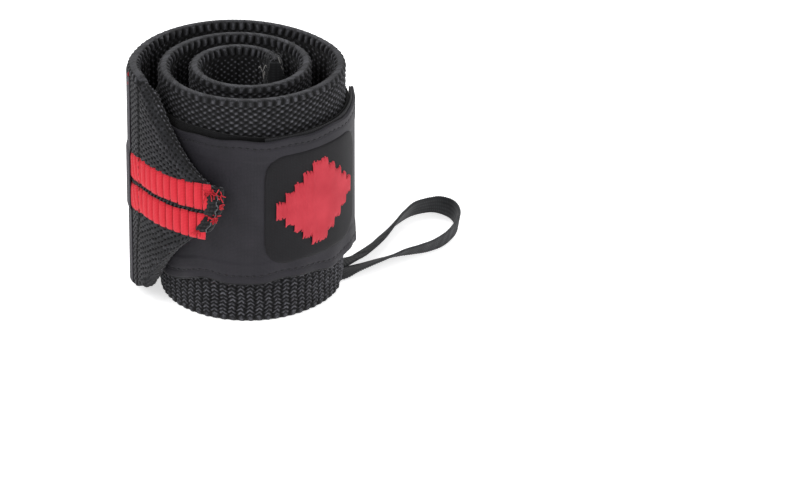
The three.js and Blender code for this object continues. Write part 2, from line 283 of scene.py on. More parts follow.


# %% [markdown]
# The webbing is polyester yarn woven over rubber cores. Its knuckles catch the light and the
# pits between them go almost black, and that light and shade is painted into the colour: the
# colour comes from the same pattern as the mesh's relief, worked out again in the shader from
# the cloth's coordinates, so that a pit's painted shade stays crisp. Six values on the mesh say
# which pattern lies where. Each yarn is a bundle of filaments: a fine slanted ridge every 0.35 mm
# is added as bump. No two knuckles are equally worn, so each one's tone differs a little by
# chance.

# %% Small sums in a shader
PITCH, ROW, KNIT_ROW = 2.85, 1.97, 1.36
BRAID_SLANT, BRAID_STEP, FILAMENT = 0.8, 0.62, 0.35


def calc(tree, operation, *values):
    """A Math node's output for numbers or other nodes' outputs."""
    node = add(tree, "ShaderNodeMath", dict(enumerate(values)), operation=operation)
    return node.outputs[0]


def scaled(tree, value, factor, offset):
    return calc(tree, "MULTIPLY_ADD", value, factor, offset)


def wave(tree, coordinate, period):
    """The cosine of a coordinate in millimetres over a period in millimetres."""
    return calc(tree, "COSINE", calc(tree, "MULTIPLY", coordinate, 2 * math.pi / period))


def blend(tree, a, b, share):
    """a where share is 0, b where it is 1."""
    return calc(tree, "MULTIPLY_ADD", calc(tree, "SUBTRACT", b, a), share, a)


# %% Elastic webbing
def weave_value(tree, along, up, zone):
    """About 0 in a pit and 1 on a knuckle: the pattern of `relief` below with more contrast."""
    # The colour follows the relief: pits and slots are painted dark as shade, and knuckles are
    # painted light as highlights.
    a, b = wave(tree, along, PITCH), wave(tree, up, ROW)
    pit = scaled(tree, calc(tree, "MULTIPLY", a, b), -0.5, 0.5)
    bump = calc(tree, "SUBTRACT", 1.0, pit)
    knuckle = scaled(tree, calc(tree, "POWER", bump, 0.75), 1.38, -0.14)
    dotted = scaled(tree, calc(tree, "POWER", pit, 5.0), -0.86, 0.86)
    knuckle = blend(tree, knuckle, dotted, zone["dotted"])
    # On the inner face the knuckles are painted brighter and narrower: a painted highlight that
    # makes up for the light the roll's core keeps off them.
    painted_glint = calc(tree, "MULTIPLY", calc(tree, "POWER", bump, 1.4), 1.4)
    aside = calc(tree, "PINGPONG", along, PITCH / 2)
    columns_on = calc(tree, "FLOOR", scaled(tree, along, 1 / PITCH, 0.5))
    slanted = scaled(tree, aside, BRAID_SLANT, scaled(tree, columns_on, BRAID_STEP, up))
    braid = calc(tree, "MULTIPLY", wave(tree, slanted, KNIT_ROW), 0.42)
    strokes = scaled(tree, wave(tree, along, PITCH / 2), -0.14, braid)
    column = calc(tree, "ADD", scaled(tree, a, 0.2, 0.78), strokes)
    slot = calc(tree, "POWER", scaled(tree, a, 0.5, 0.5), 0.5)
    slot = scaled(tree, slot, 1.2, -0.1)
    ridges = scaled(tree, wave(tree, along, PITCH / 4), 0.05, 0.98)
    value = blend(tree, knuckle, painted_glint, zone["inner"])
    value = blend(tree, value, column, zone["columns"])
    value = blend(tree, value, slot, zone["slots"])
    return blend(tree, value, ridges, zone["rim"])


def elastic_webbing():
    material, tree = new_material("woven_polyester_elastic")
    cloth = add(tree, "ShaderNodeUVMap", uv_map="cloth").outputs["UV"]
    parts = add(tree, "ShaderNodeSeparateXYZ", {"Vector": cloth}).outputs
    zone = {
        name: add(tree, "ShaderNodeAttribute", attribute_name=name).outputs["Fac"]
        for name in ("columns", "slots", "rim", "crease", "inner", "dotted")
    }
    height = weave_value(tree, parts["X"], parts["Y"], zone)
    # Along the seam's crease the colour is darkened, painted shade, besides the mesh sinking
    # there.
    height = scaled(tree, zone["crease"], -0.7, height)
    middled = add(tree, "ShaderNodeVectorMath", {0: cloth, 1: (PITCH / 4, ROW / 4, 0)})
    one_knuckle = {0: middled.outputs[0], 1: (PITCH / 2, ROW / 2, 1)}
    cell = add(tree, "ShaderNodeVectorMath", one_knuckle, operation="SNAP")
    chance = add(tree, "ShaderNodeTexWhiteNoise", {"Vector": cell.outputs[0]})
    lint = add(tree, "ShaderNodeTexNoise", {"Vector": cloth, "Scale": 2.6, "Detail": 6.0})
    uneven = scaled(tree, lint.outputs["Fac"], 0.75, -0.36)
    uneven = scaled(tree, chance.outputs["Value"], -0.22, uneven)
    level = calc(tree, "MULTIPLY", calc(tree, "ADD", height, uneven), 0.7)
    # The tones run from a pit's painted shade, almost black, up to a knuckle's painted highlight.
    # The lightest tone is reached mostly by the painted glints on the inner face.
    tones = [(0.1, "020203"), (1.0, "66666c"), (0.35, "0d0d0f"), (0.55, "1f1f22"), (0.7, "3d3d41")]
    turned = add(tree, "ShaderNodeMapping", {"Vector": cloth, "Rotation": (0, 0, 0.9)})
    # A wave texture of scale 1 has a band about every 1 / 3.2 of its coordinate.
    fine = {"Vector": turned.outputs["Vector"], "Scale": 1 / FILAMENT / 3.2, "Distortion": 1.5}
    yarn = add(tree, "ShaderNodeTexWave", fine)
    fuzz = scaled(tree, lint.outputs["Fac"], 0.8, yarn.outputs["Fac"])
    look = {"Roughness": 0.85, "Specular IOR Level": 0.25, "Sheen Weight": 0.06}
    finish_material(tree, level, tones, {"Normal": ridged(tree, fuzz, 0.5, 0.12), **look})
    return material


WEBBING = elastic_webbing()
print("material:", WEBBING.name)

# %% [markdown]
# The other cloths share one recipe: a woven ground with its own thread pitch, a slow change of
# tone as worn cloth has, and a sheen. Only their numbers differ, so one function makes them.

# %% Plain woven cloths
def woven(name, dark, light, pitch, rough, sheen=0.1, across=1.0, strength=0.5, depth=0.08):
    """A plain weave: threads every `pitch` mm both ways, ridges `depth` mm high."""
    material, tree = new_material(name)
    cloth = add(tree, "ShaderNodeUVMap", uv_map="cloth").outputs["UV"]
    scale = 2 * math.pi / pitch / 20
    threads_up = {"Vector": cloth, "Scale": scale, "Distortion": 0.3}
    threads_across = {"Vector": cloth, "Scale": scale * across, "Distortion": 0.3}
    warp = add(tree, "ShaderNodeTexWave", threads_up)
    weft = add(tree, "ShaderNodeTexWave", threads_across, bands_direction="Y")
    weave = calc(tree, "MULTIPLY", warp.outputs["Fac"], weft.outputs["Fac"])
    tone = add(tree, "ShaderNodeTexNoise", {"Vector": cloth, "Scale": 0.12, "Detail": 5.0})
    level = scaled(tree, weave, 0.55, tone.outputs["Fac"])
    look = {"Roughness": rough, "Specular IOR Level": 0.2, "Sheen Weight": sheen}
    look["Normal"] = ridged(tree, weave, strength, depth)
    finish_material(tree, level, [(0.35, dark), (0.95, light)], look)
    return material


TAB_CLOTH = woven("satin_woven_polyester", "1b1a1f", "27252b", 0.45, 0.65, sheen=0.05)
PATCH_CLOTH = woven("heat_pressed_polyester_film", "0c0b0e", "141317", 0.5, 0.7, sheen=0.02)
TAPE_CLOTH = woven("grosgrain_polyester_tape", "1f2022", "3c3d3f", 0.7, 0.8, across=0.5)
LABEL_CLOTH = woven("damask_woven_label", "2c2b2f", "424046", 0.4, 0.75, sheen=0.0)
PILE_CLOTH = woven("brushed_nylon_loop", "040405", "0d0d0f", 0.6, 0.95, sheen=0.1)
HOOK_CLOTH = woven("moulded_nylon_hook_tape", "101012", "1f1f22", 0.8, 0.7)
RED_RIB = woven("red_polyester_rib", "b01a27", "d43440", 0.5, 0.8, sheen=0.05, strength=0.7)
RED_SATIN = woven("red_satin_stitch_thread", "a82734", "c13a46", 0.4, 0.65, sheen=0.03)
DARK_RED_THREAD = woven("dark_red_sewing_thread", "7d1019", "a81c27", 0.3, 0.7)
BLACK_THREAD = woven("black_bonded_nylon_thread", "0d0d10", "232326", 0.3, 0.55)
GREY_THREAD = woven("grey_bonded_nylon_thread", "3d3e41", "66676b", 0.3, 0.55)
WORN_TAPE = woven("worn_dark_tape", "0a0a0c", "1e1f21", 0.9, 0.85, 0.1, 0.6, 0.8, 0.15)
PALE_FUZZ = woven("grey_lint", "2a2a2c", "464648", 0.3, 0.9)
PALE_FIBRE = woven("pale_rubber_core_fibre", "6f6d6b", "93918f", 0.3, 0.7)

# %% [markdown]
# ## Floor, light and camera
# The photo is a product shot on white: a floor lit from below like a light table, big soft
# lamps, and the camera high and far off with a long lens. The camera looks from 26.8 degrees
# above the floor. The roll stands left of the picture's middle and above it, which is had by
# turning the camera, not by a lens shift.

# %% Studio
def studio():
    bpy.ops.mesh.primitive_plane_add(size=6)
    floor = bpy.context.object
    floor.name = "floor"
    material, tree = new_material("matte_white_studio_paper")
    grain = add(tree, "ShaderNodeTexNoise", {"Scale": 40.0, "Detail": 2.0}).outputs["Fac"]
    look = {"Roughness": 0.9, "Emission Color": linear("ffffff"), "Emission Strength": 0.62}
    finish_material(tree, grain, [(0.0, "f4f4f5"), (1.0, "f9f9fa")], look)
    floor.data.materials.append(material)
    world = bpy.data.worlds.new("studio")
    world.use_nodes = True
    background = world.node_tree.nodes["Background"].inputs
    background["Color"].default_value = linear("ffffff")
    background["Strength"].default_value = 0.6
    bpy.context.scene.world = world


def lamp(name, place, aim, size, watts):
    light = bpy.data.lights.new(name, "AREA")
    light.size, light.energy = size, watts
    obj = bpy.data.objects.new(name, light)
    obj.location = place
    obj.rotation_euler = (Vector(aim) - Vector(place)).to_track_quat("-Z", "Y").to_euler()
    bpy.context.scene.collection.objects.link(obj)


bpy.context.scene.view_settings.view_transform = "Standard"
studio()
lamp("key_left", (-0.55, -0.5, 0.75), (0, 0, 0.04), 0.5, 4.5)
lamp("fill_right", (0.7, -0.35, 0.45), (0, 0, 0.04), 0.6, 2.2)
lamp("top_back", (0.05, 0.55, 0.8), (0, 0, 0.05), 0.6, 4)

# %% Camera
ELEVATION, DISTANCE = math.radians(26.79), 1015.5
FOCAL_PX, CENTRE_PX, FRAME_PX = 3230.4, (242.83, 172.16), (800, 478)


def make_camera():
    back = np.array([0, -math.cos(ELEVATION), math.sin(ELEVATION)])
    target = np.array([AXIS[0], AXIS[1], MIDDLE])
    place = target + back * DISTANCE
    data = bpy.data.cameras.new("camera")
    data.lens = FOCAL_PX * data.sensor_width / FRAME_PX[0]
    camera = bpy.data.objects.new("camera", data)
    # The picture's centre is off the roll's axis, so the camera is turned by that much.
    right = (FRAME_PX[0] / 2 - CENTRE_PX[0]) / FOCAL_PX
    down = (FRAME_PX[1] / 2 - CENTRE_PX[1]) / FOCAL_PX
    up = np.array([0, math.sin(ELEVATION), math.cos(ELEVATION)])
    look = -back + right * np.array([1, 0, 0]) - down * up
    level = Vector(-back).to_track_quat("-Z", "Y")
    turn = Vector(-back).rotation_difference(Vector(look))
    camera.location = place * MM
    camera.rotation_euler = (turn @ level).to_euler()
    bpy.context.scene.collection.objects.link(camera)
    bpy.context.scene.camera = camera


make_camera()

# %% [markdown]
# ## The weave's relief
# Elastic webbing of this kind shows plump knuckles and small round pits in a brick pattern. The
# product of two cosines gives just that pattern. Low on the front the weave is tighter, and the
# knuckles join to upright columns with a braided look. Under either edge is one row of upright
# slots, and the very edge is a narrow roll with fine ridges across it.

# %% Height of the surface
STRIPES_HALF = 9.7
STRIPE_LOW, STRIPE_HIGH, STRIPE_SUNK = MIDDLE - STRIPES_HALF, MIDDLE + STRIPES_HALF, -0.45
INNER_SLOTS, OUTER_SLOTS = 2.6, 1.8
# The columns fade out between two heights and between two angles; then the dots begin.
COLUMNS_TOP, COLUMNS_END, DOTS_BEGIN = (10, 20), (800, 860), (858, 882)
SEAM_LOW, SEAM_HIGH = 924.5, 930.0


def seam_angle(v):
    """Where the seam before the point runs; it leans with the fold."""
    return mix(SEAM_LOW, SEAM_HIGH, smooth(v, 8, 34))


def zones(angle, v, edged, out):
    """Shares of the patterns at a place. edged is 0 where the edge is folded away; out is 1 on
    the outer face, 0 on the crown of the edge and -1 on the inner face."""
    edge, inner = np.minimum(v, WIDTH - v), out < 0
    deep = np.where(inner, INNER_SLOTS, OUTER_SLOTS)
    crown = (1 - smooth(np.abs(out), 0.45, 0.85)) * (edge < 2)
    slots = (1 - crown) * (1 - smooth(edge, deep - 0.2, deep + 0.4))
    columned = (1 - smooth(v, *COLUMNS_TOP)) * (1 - smooth(angle, *COLUMNS_END)) * ~inner
    return {
        "columns": 0.9 * columned,
        "slots": slots * edged,
        "rim": crown * edged,
        "crease": np.exp(-(((angle - seam_angle(v)) / 0.8) ** 2)) * ~inner,
        # On the inner face the shader also paints the knuckles as bright glints, a painted
        # highlight.
        "inner": inner * smooth(edge, 1.0, INNER_SLOTS),
        "dotted": smooth(angle, *DOTS_BEGIN) * ~inner,
    }


def relief(length, v, zone):
    """Height from 0 in a pit to 1 on a knuckle, for a length along and a height up."""
    a, b = np.cos(2 * math.pi * length / PITCH), np.cos(2 * math.pi * v / ROW)
    pit = 0.5 - 0.5 * a * b
    knuckle = mix((1 - pit) ** 0.8, 1 - pit**5.0, zone["dotted"])
    knuckle = mix(knuckle, (1 - pit) ** 1.2, zone["inner"])
    aside = np.abs((length / PITCH + 0.5) % 1 - 0.5) * PITCH
    slanted = v + BRAID_SLANT * aside + BRAID_STEP * np.floor(length / PITCH + 0.5)
    braid = 0.36 * np.cos(2 * math.pi * slanted / KNIT_ROW)
    column = 0.7 + 0.2 * a + (braid - 0.14 * np.cos(4 * math.pi * length / PITCH))
    slot = (0.5 + 0.5 * a) ** 0.35
    ridges = 0.88 + 0.03 * np.cos(8 * math.pi * length / PITCH)
    height = mix(knuckle, column, zone["columns"])
    height = mix(height, slot, zone["slots"])
    return mix(height, ridges, zone["rim"])


# %% [markdown]
# ## Webbing
# The strip is one closed skin: up the outer face, round the top edge, down the inner face, round
# the bottom. Every cross-section has the same number of points, and each point is moved by the
# relief. At the outer end the top and bottom corners are folded behind, so there the section
# grows shorter and nearly twice as thick, and the weave runs on over the fold. The tip leans,
# and the last sections lean with it. The strip is made in three lengths, because a very large
# mesh is awkward to handle, and the inner turns need less detail where nobody can look.

# %% Section of the webbing
RISE, LEVEL = 0.46, 0.8  # mm that the relief stands out by, and the height that lies level
END_ROUND = 2.4
UPPER_FOLD, LOWER_FOLD = (1.0, 2.0, 1.8), (0.2, 2.6, 0.8)  # rounding, bow and skew


def fold_share(angle, blunt):
    """0 at the shoulder and 1 at the tip; the lower corner's fold starts a little later."""
    start = SHOULDER + (2.5 if blunt == BLUNT_LOWER else 0)
    return np.clip((angle - start) / (TIP - blunt - start), 0, 1)


def half_height(angle, blunt):
    """The webbing's height above or below its middle: full to the shoulder, then narrowing.
    The folded edges are a little hollow, not straight."""
    share = fold_share(angle, blunt)
    rounding, bow, skew = UPPER_FOLD if blunt == BLUNT_UPPER else LOWER_FOLD
    rounded = rounding * np.exp(-(((angle - SHOULDER) / 3.0) ** 2))
    hollow = bow * np.sin(math.pi * share**skew)
    return mix(MIDDLE, TIP_HEIGHT / 2, share) - rounded - hollow


def inner_end(v):
    return mix(INNER_BOTTOM, INNER_TOP, v / WIDTH)


TIP_LEANS = [-TIP_LEAN, 1.4, 2.1, 2.2]


def leaning(angle, v):
    """Degrees that a place is moved by near the leaning tip and near the slanted inner end."""
    lean = np.interp((v - MIDDLE) / (TIP_HEIGHT / 2), [-1, 0, 0.3, 1], TIP_LEANS)
    slant = (inner_end(v) - INNER_BOTTOM) * (1 - smooth(angle, INNER_BOTTOM, 70))
    return lean * smooth(angle, TIP - 16, TIP) + slant


def thickness(angle):
    return THICK + FOLD_THICK * smooth(angle, SHOULDER - 1, SHOULDER + 7)


def section_plan(outer_steps, inner_steps, edge_steps):
    """The round of the section as (side, share) pairs: which stretch, and how far along it."""
    plan = [(0, t) for t in outer_steps[:-1]]
    plan += [(1, t) for t in np.linspace(0, 1, edge_steps)[:-1]]
    plan += [(2, t) for t in inner_steps[:-1]]
    plan += [(3, t) for t in np.linspace(0, 1, edge_steps)[:-1]]
    return np.array(plan)


def webbing_length(name, lengths, outer_steps, inner_steps, edge_steps=8, end_round=False):
    plan = section_plan(outer_steps, inner_steps, edge_steps)
    side, share = plan[:, 0], plan[:, 1]
    angle = angle_at(lengths)[:, None]
    thick = thickness(angle)
    if end_round:
        rest = (lengths[-1] - lengths)[:, None]
        squeeze = np.sqrt(np.clip(1 - (1 - np.clip(rest / END_ROUND, 0, 1)) ** 2, 0.02, 1))
    else:
        squeeze = np.ones_like(angle)
    near_tip = smooth(angle, TIP - 16, TIP)
    above = half_height(angle + TIP_LEANS[-1] * near_tip, BLUNT_UPPER)
    below = half_height(angle + TIP_LEANS[0] * near_tip, BLUNT_LOWER)
    round_up, round_low = np.minimum(thick / 2, above * 0.6), np.minimum(thick / 2, below * 0.6)
    top, bottom = MIDDLE + above - round_up, MIDDLE - below + round_low
    turn = share * math.pi
    bend_up, bend_out = np.sin(turn) ** 0.7, np.sign(np.cos(turn)) * np.abs(np.cos(turn)) ** 0.7
    pick = [side == 0, side == 1, side == 2, side == 3]
    edges = top + round_up * bend_up, bottom - round_low * bend_up
    v = np.select(pick, [mix(bottom, top, share), edges[0], mix(top, bottom, share), edges[1]])
    out = np.select(pick, [np.ones_like(turn), bend_out, -np.ones_like(turn), -bend_out])
    folded = smooth(angle, SHOULDER - 2, SHOULDER + 3)
    arc = thick / 2 * np.select(pick, [0 * turn, turn, 0 * turn, turn - math.pi])
    across = folded * np.abs(arc)
    along = lengths[:, None] + 0.73 * across + np.where(out < 0, PITCH / 2, 0)
    pattern = np.select(pick, [v, top + 0.68 * arc, v + ROW / 2, bottom + 0.68 * arc])
    pattern = np.where((side == 1) | (side == 3), mix(v, pattern, folded), pattern)
    # The weave wanders a little, so that its rows don't look ruled.
    along = along + 0.16 * np.sin(0.9 * v + 0.13 * along) + 0.13 * np.sin(2.3 * v - 0.31 * along)
    pattern = pattern + 0.12 * np.sin(0.7 * along + 0.2 * v) + 0.08 * np.sin(1.9 * along)
    zone = zones(angle + 0 * v, v, 1 - folded + 0 * v, out + 0 * v)
    height = relief(along, pattern, zone) - zone["crease"]
    striped = (v > STRIPE_LOW) & (v < STRIPE_HIGH) & (out > 0.5)
    deeper = 2 + 1.2 * zone["slots"] * (out < 0)
    push = (height - LEVEL) * RISE * deeper * np.sign(out) * np.abs(out) ** 0.5
    push = np.where(striped, STRIPE_SUNK, push)
    swell = np.where(np.abs(out) < 1, (height - LEVEL) * RISE * np.sin(turn), 0)
    v = v + np.select([side == 1, side == 3], [swell, -swell], 0)
    depth = -thick / 2 + out * thick / 2 * squeeze + push * squeeze
    points = on_webbing(angle + leaning(angle, v), v, depth)
    points[..., 2] = np.maximum(points[..., 2], 0)
    values = {label: data.ravel() for label, data in zone.items()}
    return tube(name, points, WEBBING, grid(along, pattern), values)


def steps(fine_low, fine_high, fine, coarse):
    """Shares up a face: fine near the bottom and top stretches, coarse between, in mm."""
    stretch = WIDTH - THICK
    low_part = np.arange(0, fine_low, fine)
    middle_part = np.arange(fine_low, stretch - fine_high, coarse)
    top_part = np.linspace(stretch - fine_high, stretch, int(fine_high / fine) + 1)
    return np.concatenate([low_part, middle_part, top_part]) / stretch


# %% Make the lengths
start, joint, front, end = (float(length_at(a)) for a in (INNER_BOTTOM, 540, 860, TIP))
skins = [
    webbing_length(
        "webbing_inner_turns",
        np.arange(start, joint + 0.1, 0.48),
        steps(1, 18, 0.3, 2.0),
        steps(1, 24, 0.3, 2.0),
    ),
    webbing_length(
        "webbing_second_turn",
        np.arange(joint, front + 0.1, 0.45),
        steps(18, 18, 0.32, 1.2),
        steps(1, 22, 0.32, 2.0),
    ),
    webbing_length(
        "webbing_outer_end",
        np.append(np.arange(front, end, 0.34), end),
        steps(36, 36, 0.3, 0.3),
        steps(2, 22, 0.32, 2.0),
        edge_steps=26,
        end_round=True,
    ),
]
for skin in skins:
    keep(skin)
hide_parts("elastic_band")

# %% [markdown]
# ## Placing what repeats
# Ribs and stitches follow a line on the cloth. A line of points carries, at each point, the
# direction that faces away from the cloth. A small Geometry Nodes tree walks along the line at
# an even pitch, sets a copy of one item at each step, turns it to the line and away from the
# cloth, and varies its size a little. The result is turned into a plain mesh.

# %% Geometry Nodes: items along a line
def new_tree(name, inputs):
    """A tree that takes geometry and the inputs, each a name, a kind and a starting value."""
    tree = bpy.data.node_groups.new(name, "GeometryNodeTree")
    face = tree.interface
    face.new_socket("Geometry", in_out="INPUT", socket_type="NodeSocketGeometry")
    for label, kind, value in inputs:
        socket = face.new_socket(label, in_out="INPUT", socket_type=f"NodeSocket{kind}")
        if value is not None:
            socket.default_value = value
    face.new_socket("Geometry", in_out="OUTPUT", socket_type="NodeSocketGeometry")
    return tree, add(tree, "NodeGroupInput").outputs


def turned_on(tree, rotation, angle):
    """A rotation turned on about its own z."""
    spin = add(tree, "FunctionNodeAxisAngleToRotation", {"Axis": (0, 0, 1), "Angle": angle})
    both = {"Rotation": rotation, "Rotate By": spin.outputs[0]}
    return add(tree, "FunctionNodeRotateRotation", both, rotation_space="LOCAL").outputs[0]


def chance_between(tree, low, high, seed):
    ends = {2: low, 3: high, "Seed": seed}
    return add(tree, "FunctionNodeRandomValue", ends, data_type="FLOAT").outputs[1]


def set_items(tree, given, points, rotation, scale):
    """The end of a tree: a copy of the item at each point, made real, with its material."""
    item = add(tree, "GeometryNodeObjectInfo", {"Object": given["Item"]}).outputs["Geometry"]
    where = {"Points": points, "Instance": item, "Rotation": rotation, "Scale": scale}
    placed = add(tree, "GeometryNodeInstanceOnPoints", where).outputs[0]
    real = add(tree, "GeometryNodeRealizeInstances", {"Geometry": placed}).outputs[0]
    look = {"Geometry": real, "Material": given["Material"]}
    painted = add(tree, "GeometryNodeSetMaterial", look).outputs[0]
    add(tree, "NodeGroupOutput", {"Geometry": painted})


def tree_along_line():
    inputs = [("Item", "Object", None), ("Pitch", "Float", 0.003), ("Turn", "Float", 0.0)]
    inputs += [("Variation", "Float", 0.05), ("Seed", "Int", 1), ("Material", "Material", None)]
    tree, given = new_tree("items_along_a_line", inputs)
    curve = add(tree, "GeometryNodeMeshToCurve", {"Mesh": given["Geometry"]}).outputs["Curve"]
    even = {"Curve": curve, "Length": given["Pitch"]}
    spaced = add(tree, "GeometryNodeResampleCurve", even, mode="LENGTH").outputs["Curve"]
    named = {"Name": "facing"}
    facing = add(tree, "GeometryNodeInputNamedAttribute", named, data_type="FLOAT_VECTOR")
    away = {"Vector": facing.outputs["Attribute"]}
    upright = add(tree, "FunctionNodeAlignRotationToVector", away, axis="Z")
    tangent = add(tree, "GeometryNodeInputTangent").outputs["Tangent"]
    ahead = {"Rotation": upright.outputs[0], "Vector": tangent}
    aimed = add(tree, "FunctionNodeAlignRotationToVector", ahead, axis="X", pivot_axis="Z")
    rotation = turned_on(tree, aimed.outputs[0], given["Turn"])
    least = calc(tree, "SUBTRACT", 1.0, given["Variation"])
    most = calc(tree, "ADD", 1.0, given["Variation"])
    set_items(tree, given, spaced, rotation, chance_between(tree, least, most, given["Seed"]))
    return tree


def tree_over_face():
    """Items scattered over a surface, each standing on it and spun by chance."""
    inputs = [("Item", "Object", None), ("Density", "Float", 1e6)]
    inputs += [("Seed", "Int", 1), ("Material", "Material", None)]
    tree, given = new_tree("items_over_a_face", inputs)
    spread = {"Mesh": given["Geometry"], "Density": given["Density"], "Seed": given["Seed"]}
    spread = add(tree, "GeometryNodeDistributePointsOnFaces", spread).outputs
    spin = chance_between(tree, 0.0, 2 * math.pi, given["Seed"])
    rotation = turned_on(tree, spread["Rotation"], spin)
    size = chance_between(tree, 0.7, 1.25, given["Seed"])
    set_items(tree, given, spread["Points"], rotation, size)
    return tree


ALONG_LINE = tree_along_line()
OVER_FACE = tree_over_face()


# %% Run a tree and keep the result as a plain mesh
def finished(name, source, tree, slot, **inputs):
    """Applies a tree to the source object, with inputs set by their sockets' identifiers."""
    modifier = source.modifiers.new("made", "NODES")
    modifier.node_group = tree
    for socket in tree.interface.items_tree:
        if socket.in_out == "INPUT" and socket.name in inputs:
            modifier[socket.identifier] = inputs[socket.name]
    bpy.context.view_layer.update()
    graph = bpy.context.evaluated_depsgraph_get()
    mesh = bpy.data.meshes.new_from_object(source.evaluated_get(graph))
    source.modifiers.remove(modifier)
    bpy.data.objects.remove(source)
    mesh.name = name
    mesh.polygons.foreach_set("use_smooth", np.ones(len(mesh.polygons), bool))
    made = bpy.data.objects.new(name, mesh)
    bpy.context.scene.collection.objects.link(made)
    return keep(made)


def lines_object(lines):
    """One mesh of edges from several lines, each a pair of arrays: points and facings."""
    points, facings, edges, begin = [], [], [], 0
    for places, facing in lines:
        points.append(places)
        facings.append(facing)
        edges += [(begin + i, begin + i + 1) for i in range(len(places) - 1)]
        begin += len(places)
    mesh = bpy.data.meshes.new("lines")
    mesh.from_pydata((np.concatenate(points) * MM).tolist(), edges, [])
    attribute = mesh.attributes.new("facing", "FLOAT_VECTOR", "POINT")
    attribute.data.foreach_set("vector", np.concatenate(facings).astype(np.float32).ravel())
    obj = bpy.data.objects.new("lines", mesh)
    bpy.context.scene.collection.objects.link(obj)
    return obj


def sewn(name, lines, slot, **inputs):
    return finished(name, lines_object(lines), ALONG_LINE, slot, **inputs)


def outward(angle):
    a = np.radians(angle)
    return np.stack([np.cos(a), np.sin(a), 0 * a], -1)


def webbing_line(angles, v, depth):
    """A line on the webbing with its facings, for arrays or numbers."""
    angles = np.asarray(angles, float)
    angles = angles + leaning(angles, v)
    return on_webbing(angles, v, depth), outward(angles)


# %% [markdown]
# Loose threads, frayed ends and fuzz are thin tubes along lines of their own.

# %% Loose threads
def threads(name, lines, thick, material):
    """One mesh of thin round threads, each along a line of points in millimetres."""
    turn, strands = full_turn(6), []
    for line in lines:
        line = np.asarray(line, float)
        along = np.gradient(line, axis=0)
        along /= np.linalg.norm(along, axis=1, keepdims=True) + 1e-9
        side = np.cross(along, (0.31, 0.42, 0.85))
        side /= np.linalg.norm(side, axis=1, keepdims=True) + 1e-9
        up = np.cross(side, along)
        around = np.cos(turn)[:, None] * side[:, None] + np.sin(turn)[:, None] * up[:, None]
        rows = line[:, None] + thick / 2 * around
        strands.append((rows, grid(np.arange(len(line))[:, None] * 0.3, turn)))
    return keep(bundle(name, strands, material))


# %% [markdown]
# ## Items to repeat
# A rib is a little pillow. A stitch is a short rod of thread whose ends dive into the cloth.
# Both have only a few dozen faces, because there are hundreds of them. They are rows of points
# too, drawn with x along the line, y across it and z away from the cloth.

# %% Ribs and stitches
def item(name, rows):
    """A hidden piece for a tree to copy. The last cell removes it again."""
    rows = np.asarray(rows, float)
    obj = tube(name, rows, BLACK_THREAD, rows[..., [1, 0]])
    obj.hide_render = True
    return obj


def pillow(name, length, width, height):
    """A rib: `length` across the line, `width` along it, `height` high, rounded all over."""
    across = np.linspace(-1, 1, 9)
    round_up = np.sqrt(np.clip(1 - np.abs(across) ** 5, 0.02, 1))
    rows, turn = [], full_turn(12)
    for t, size in zip(across, round_up):
        x = width / 2 * np.cos(turn) * (0.9 + 0.1 * size)
        z = height * np.sin(turn) * size
        rows.append(np.stack([x, np.full_like(x, t * length / 2), z], -1))
    return item(name, rows)


def stitch(name, length, thick, sink=0.6):
    """A thread's visible length, along x, sinking into the cloth at both ends."""
    rows, turn = [], full_turn(6)
    for t in np.linspace(-1, 1, 7):
        size = thick / 2 * (1 - 0.35 * abs(t) ** 3)
        y = size * np.cos(turn)
        z = size * np.sin(turn) - sink * thick * abs(t) ** 2.5
        rows.append(np.stack([np.full_like(y, t * length / 2), y, z], -1))
    return item(name, rows)


RIB = pillow("rib", 8.7, 2.74, 0.66)
SLANT_STITCH = stitch("slant_stitch", 2.1, 0.55)
SHORT_STITCH = stitch("short_stitch", 1.5, 0.42)

# %% [markdown]
# ## Red stripes
# The stripes are woven in, in red yarn with upright ribs 2.85 mm apart. Each rib is a pillow, so
# the stripes are made as two rows of pillows on a thin red ground. Between the stripes runs a
# narrow black line of slanting stitches. All of it bends with the webbing, and ends in the fold
# of the arrow point.

# %% Ribbed stripes
STRIPE_WIDTH, BETWEEN, STRIPE_FROM, TACK_ANGLE = 8.6, 2.2, 22, 7.2
STRIPE_MIDDLES = {
    "lower": MIDDLE - BETWEEN / 2 - STRIPE_WIDTH / 2,
    "upper": MIDDLE + BETWEEN / 2 + STRIPE_WIDTH / 2,
}


def stripe_end(v):
    """Angle at which a line at height v meets the stitching across the tip or the fold."""
    blunt = BLUNT_UPPER if v > MIDDLE else BLUNT_LOWER
    share = (MIDDLE - abs(v - MIDDLE)) / (MIDDLE - TIP_HEIGHT / 2)
    return min(TIP - TACK_ANGLE, SHOULDER + share * (TIP - blunt - SHOULDER) - 2)


ribs = {"Item": RIB, "Pitch": PITCH * MM, "Variation": 0.03, "Seed": 3, "Material": RED_RIB}
for which, v in STRIPE_MIDDLES.items():
    line = webbing_line(np.arange(STRIPE_FROM, stripe_end(v) + 1, 2.0), v, -0.05)
    stripe = sewn(f"stripe_{which}_ribs", [line], "red_ribbed_weave", **ribs)
    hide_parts(f"stripe_{which}")

# %% Ground under the ribs and the stitched line between
def stripe_ground(name, middle, half, end):
    """A thin closed strip on the webbing, just under its face."""
    angles = angle_at(np.arange(length_at(STRIPE_FROM), length_at(end), 1.0))[:, None]
    v = middle + half * np.array([-1, 1, 1, -1])
    depth = np.array([-0.6, -0.6, -0.02, -0.02])
    rows = on_webbing(angles + leaning(angles, v), v, depth)[:, ::-1]
    strip = tube(name, rows, DARK_RED_THREAD, grid(length_at(angles), v)[:, ::-1])
    keep(strip)


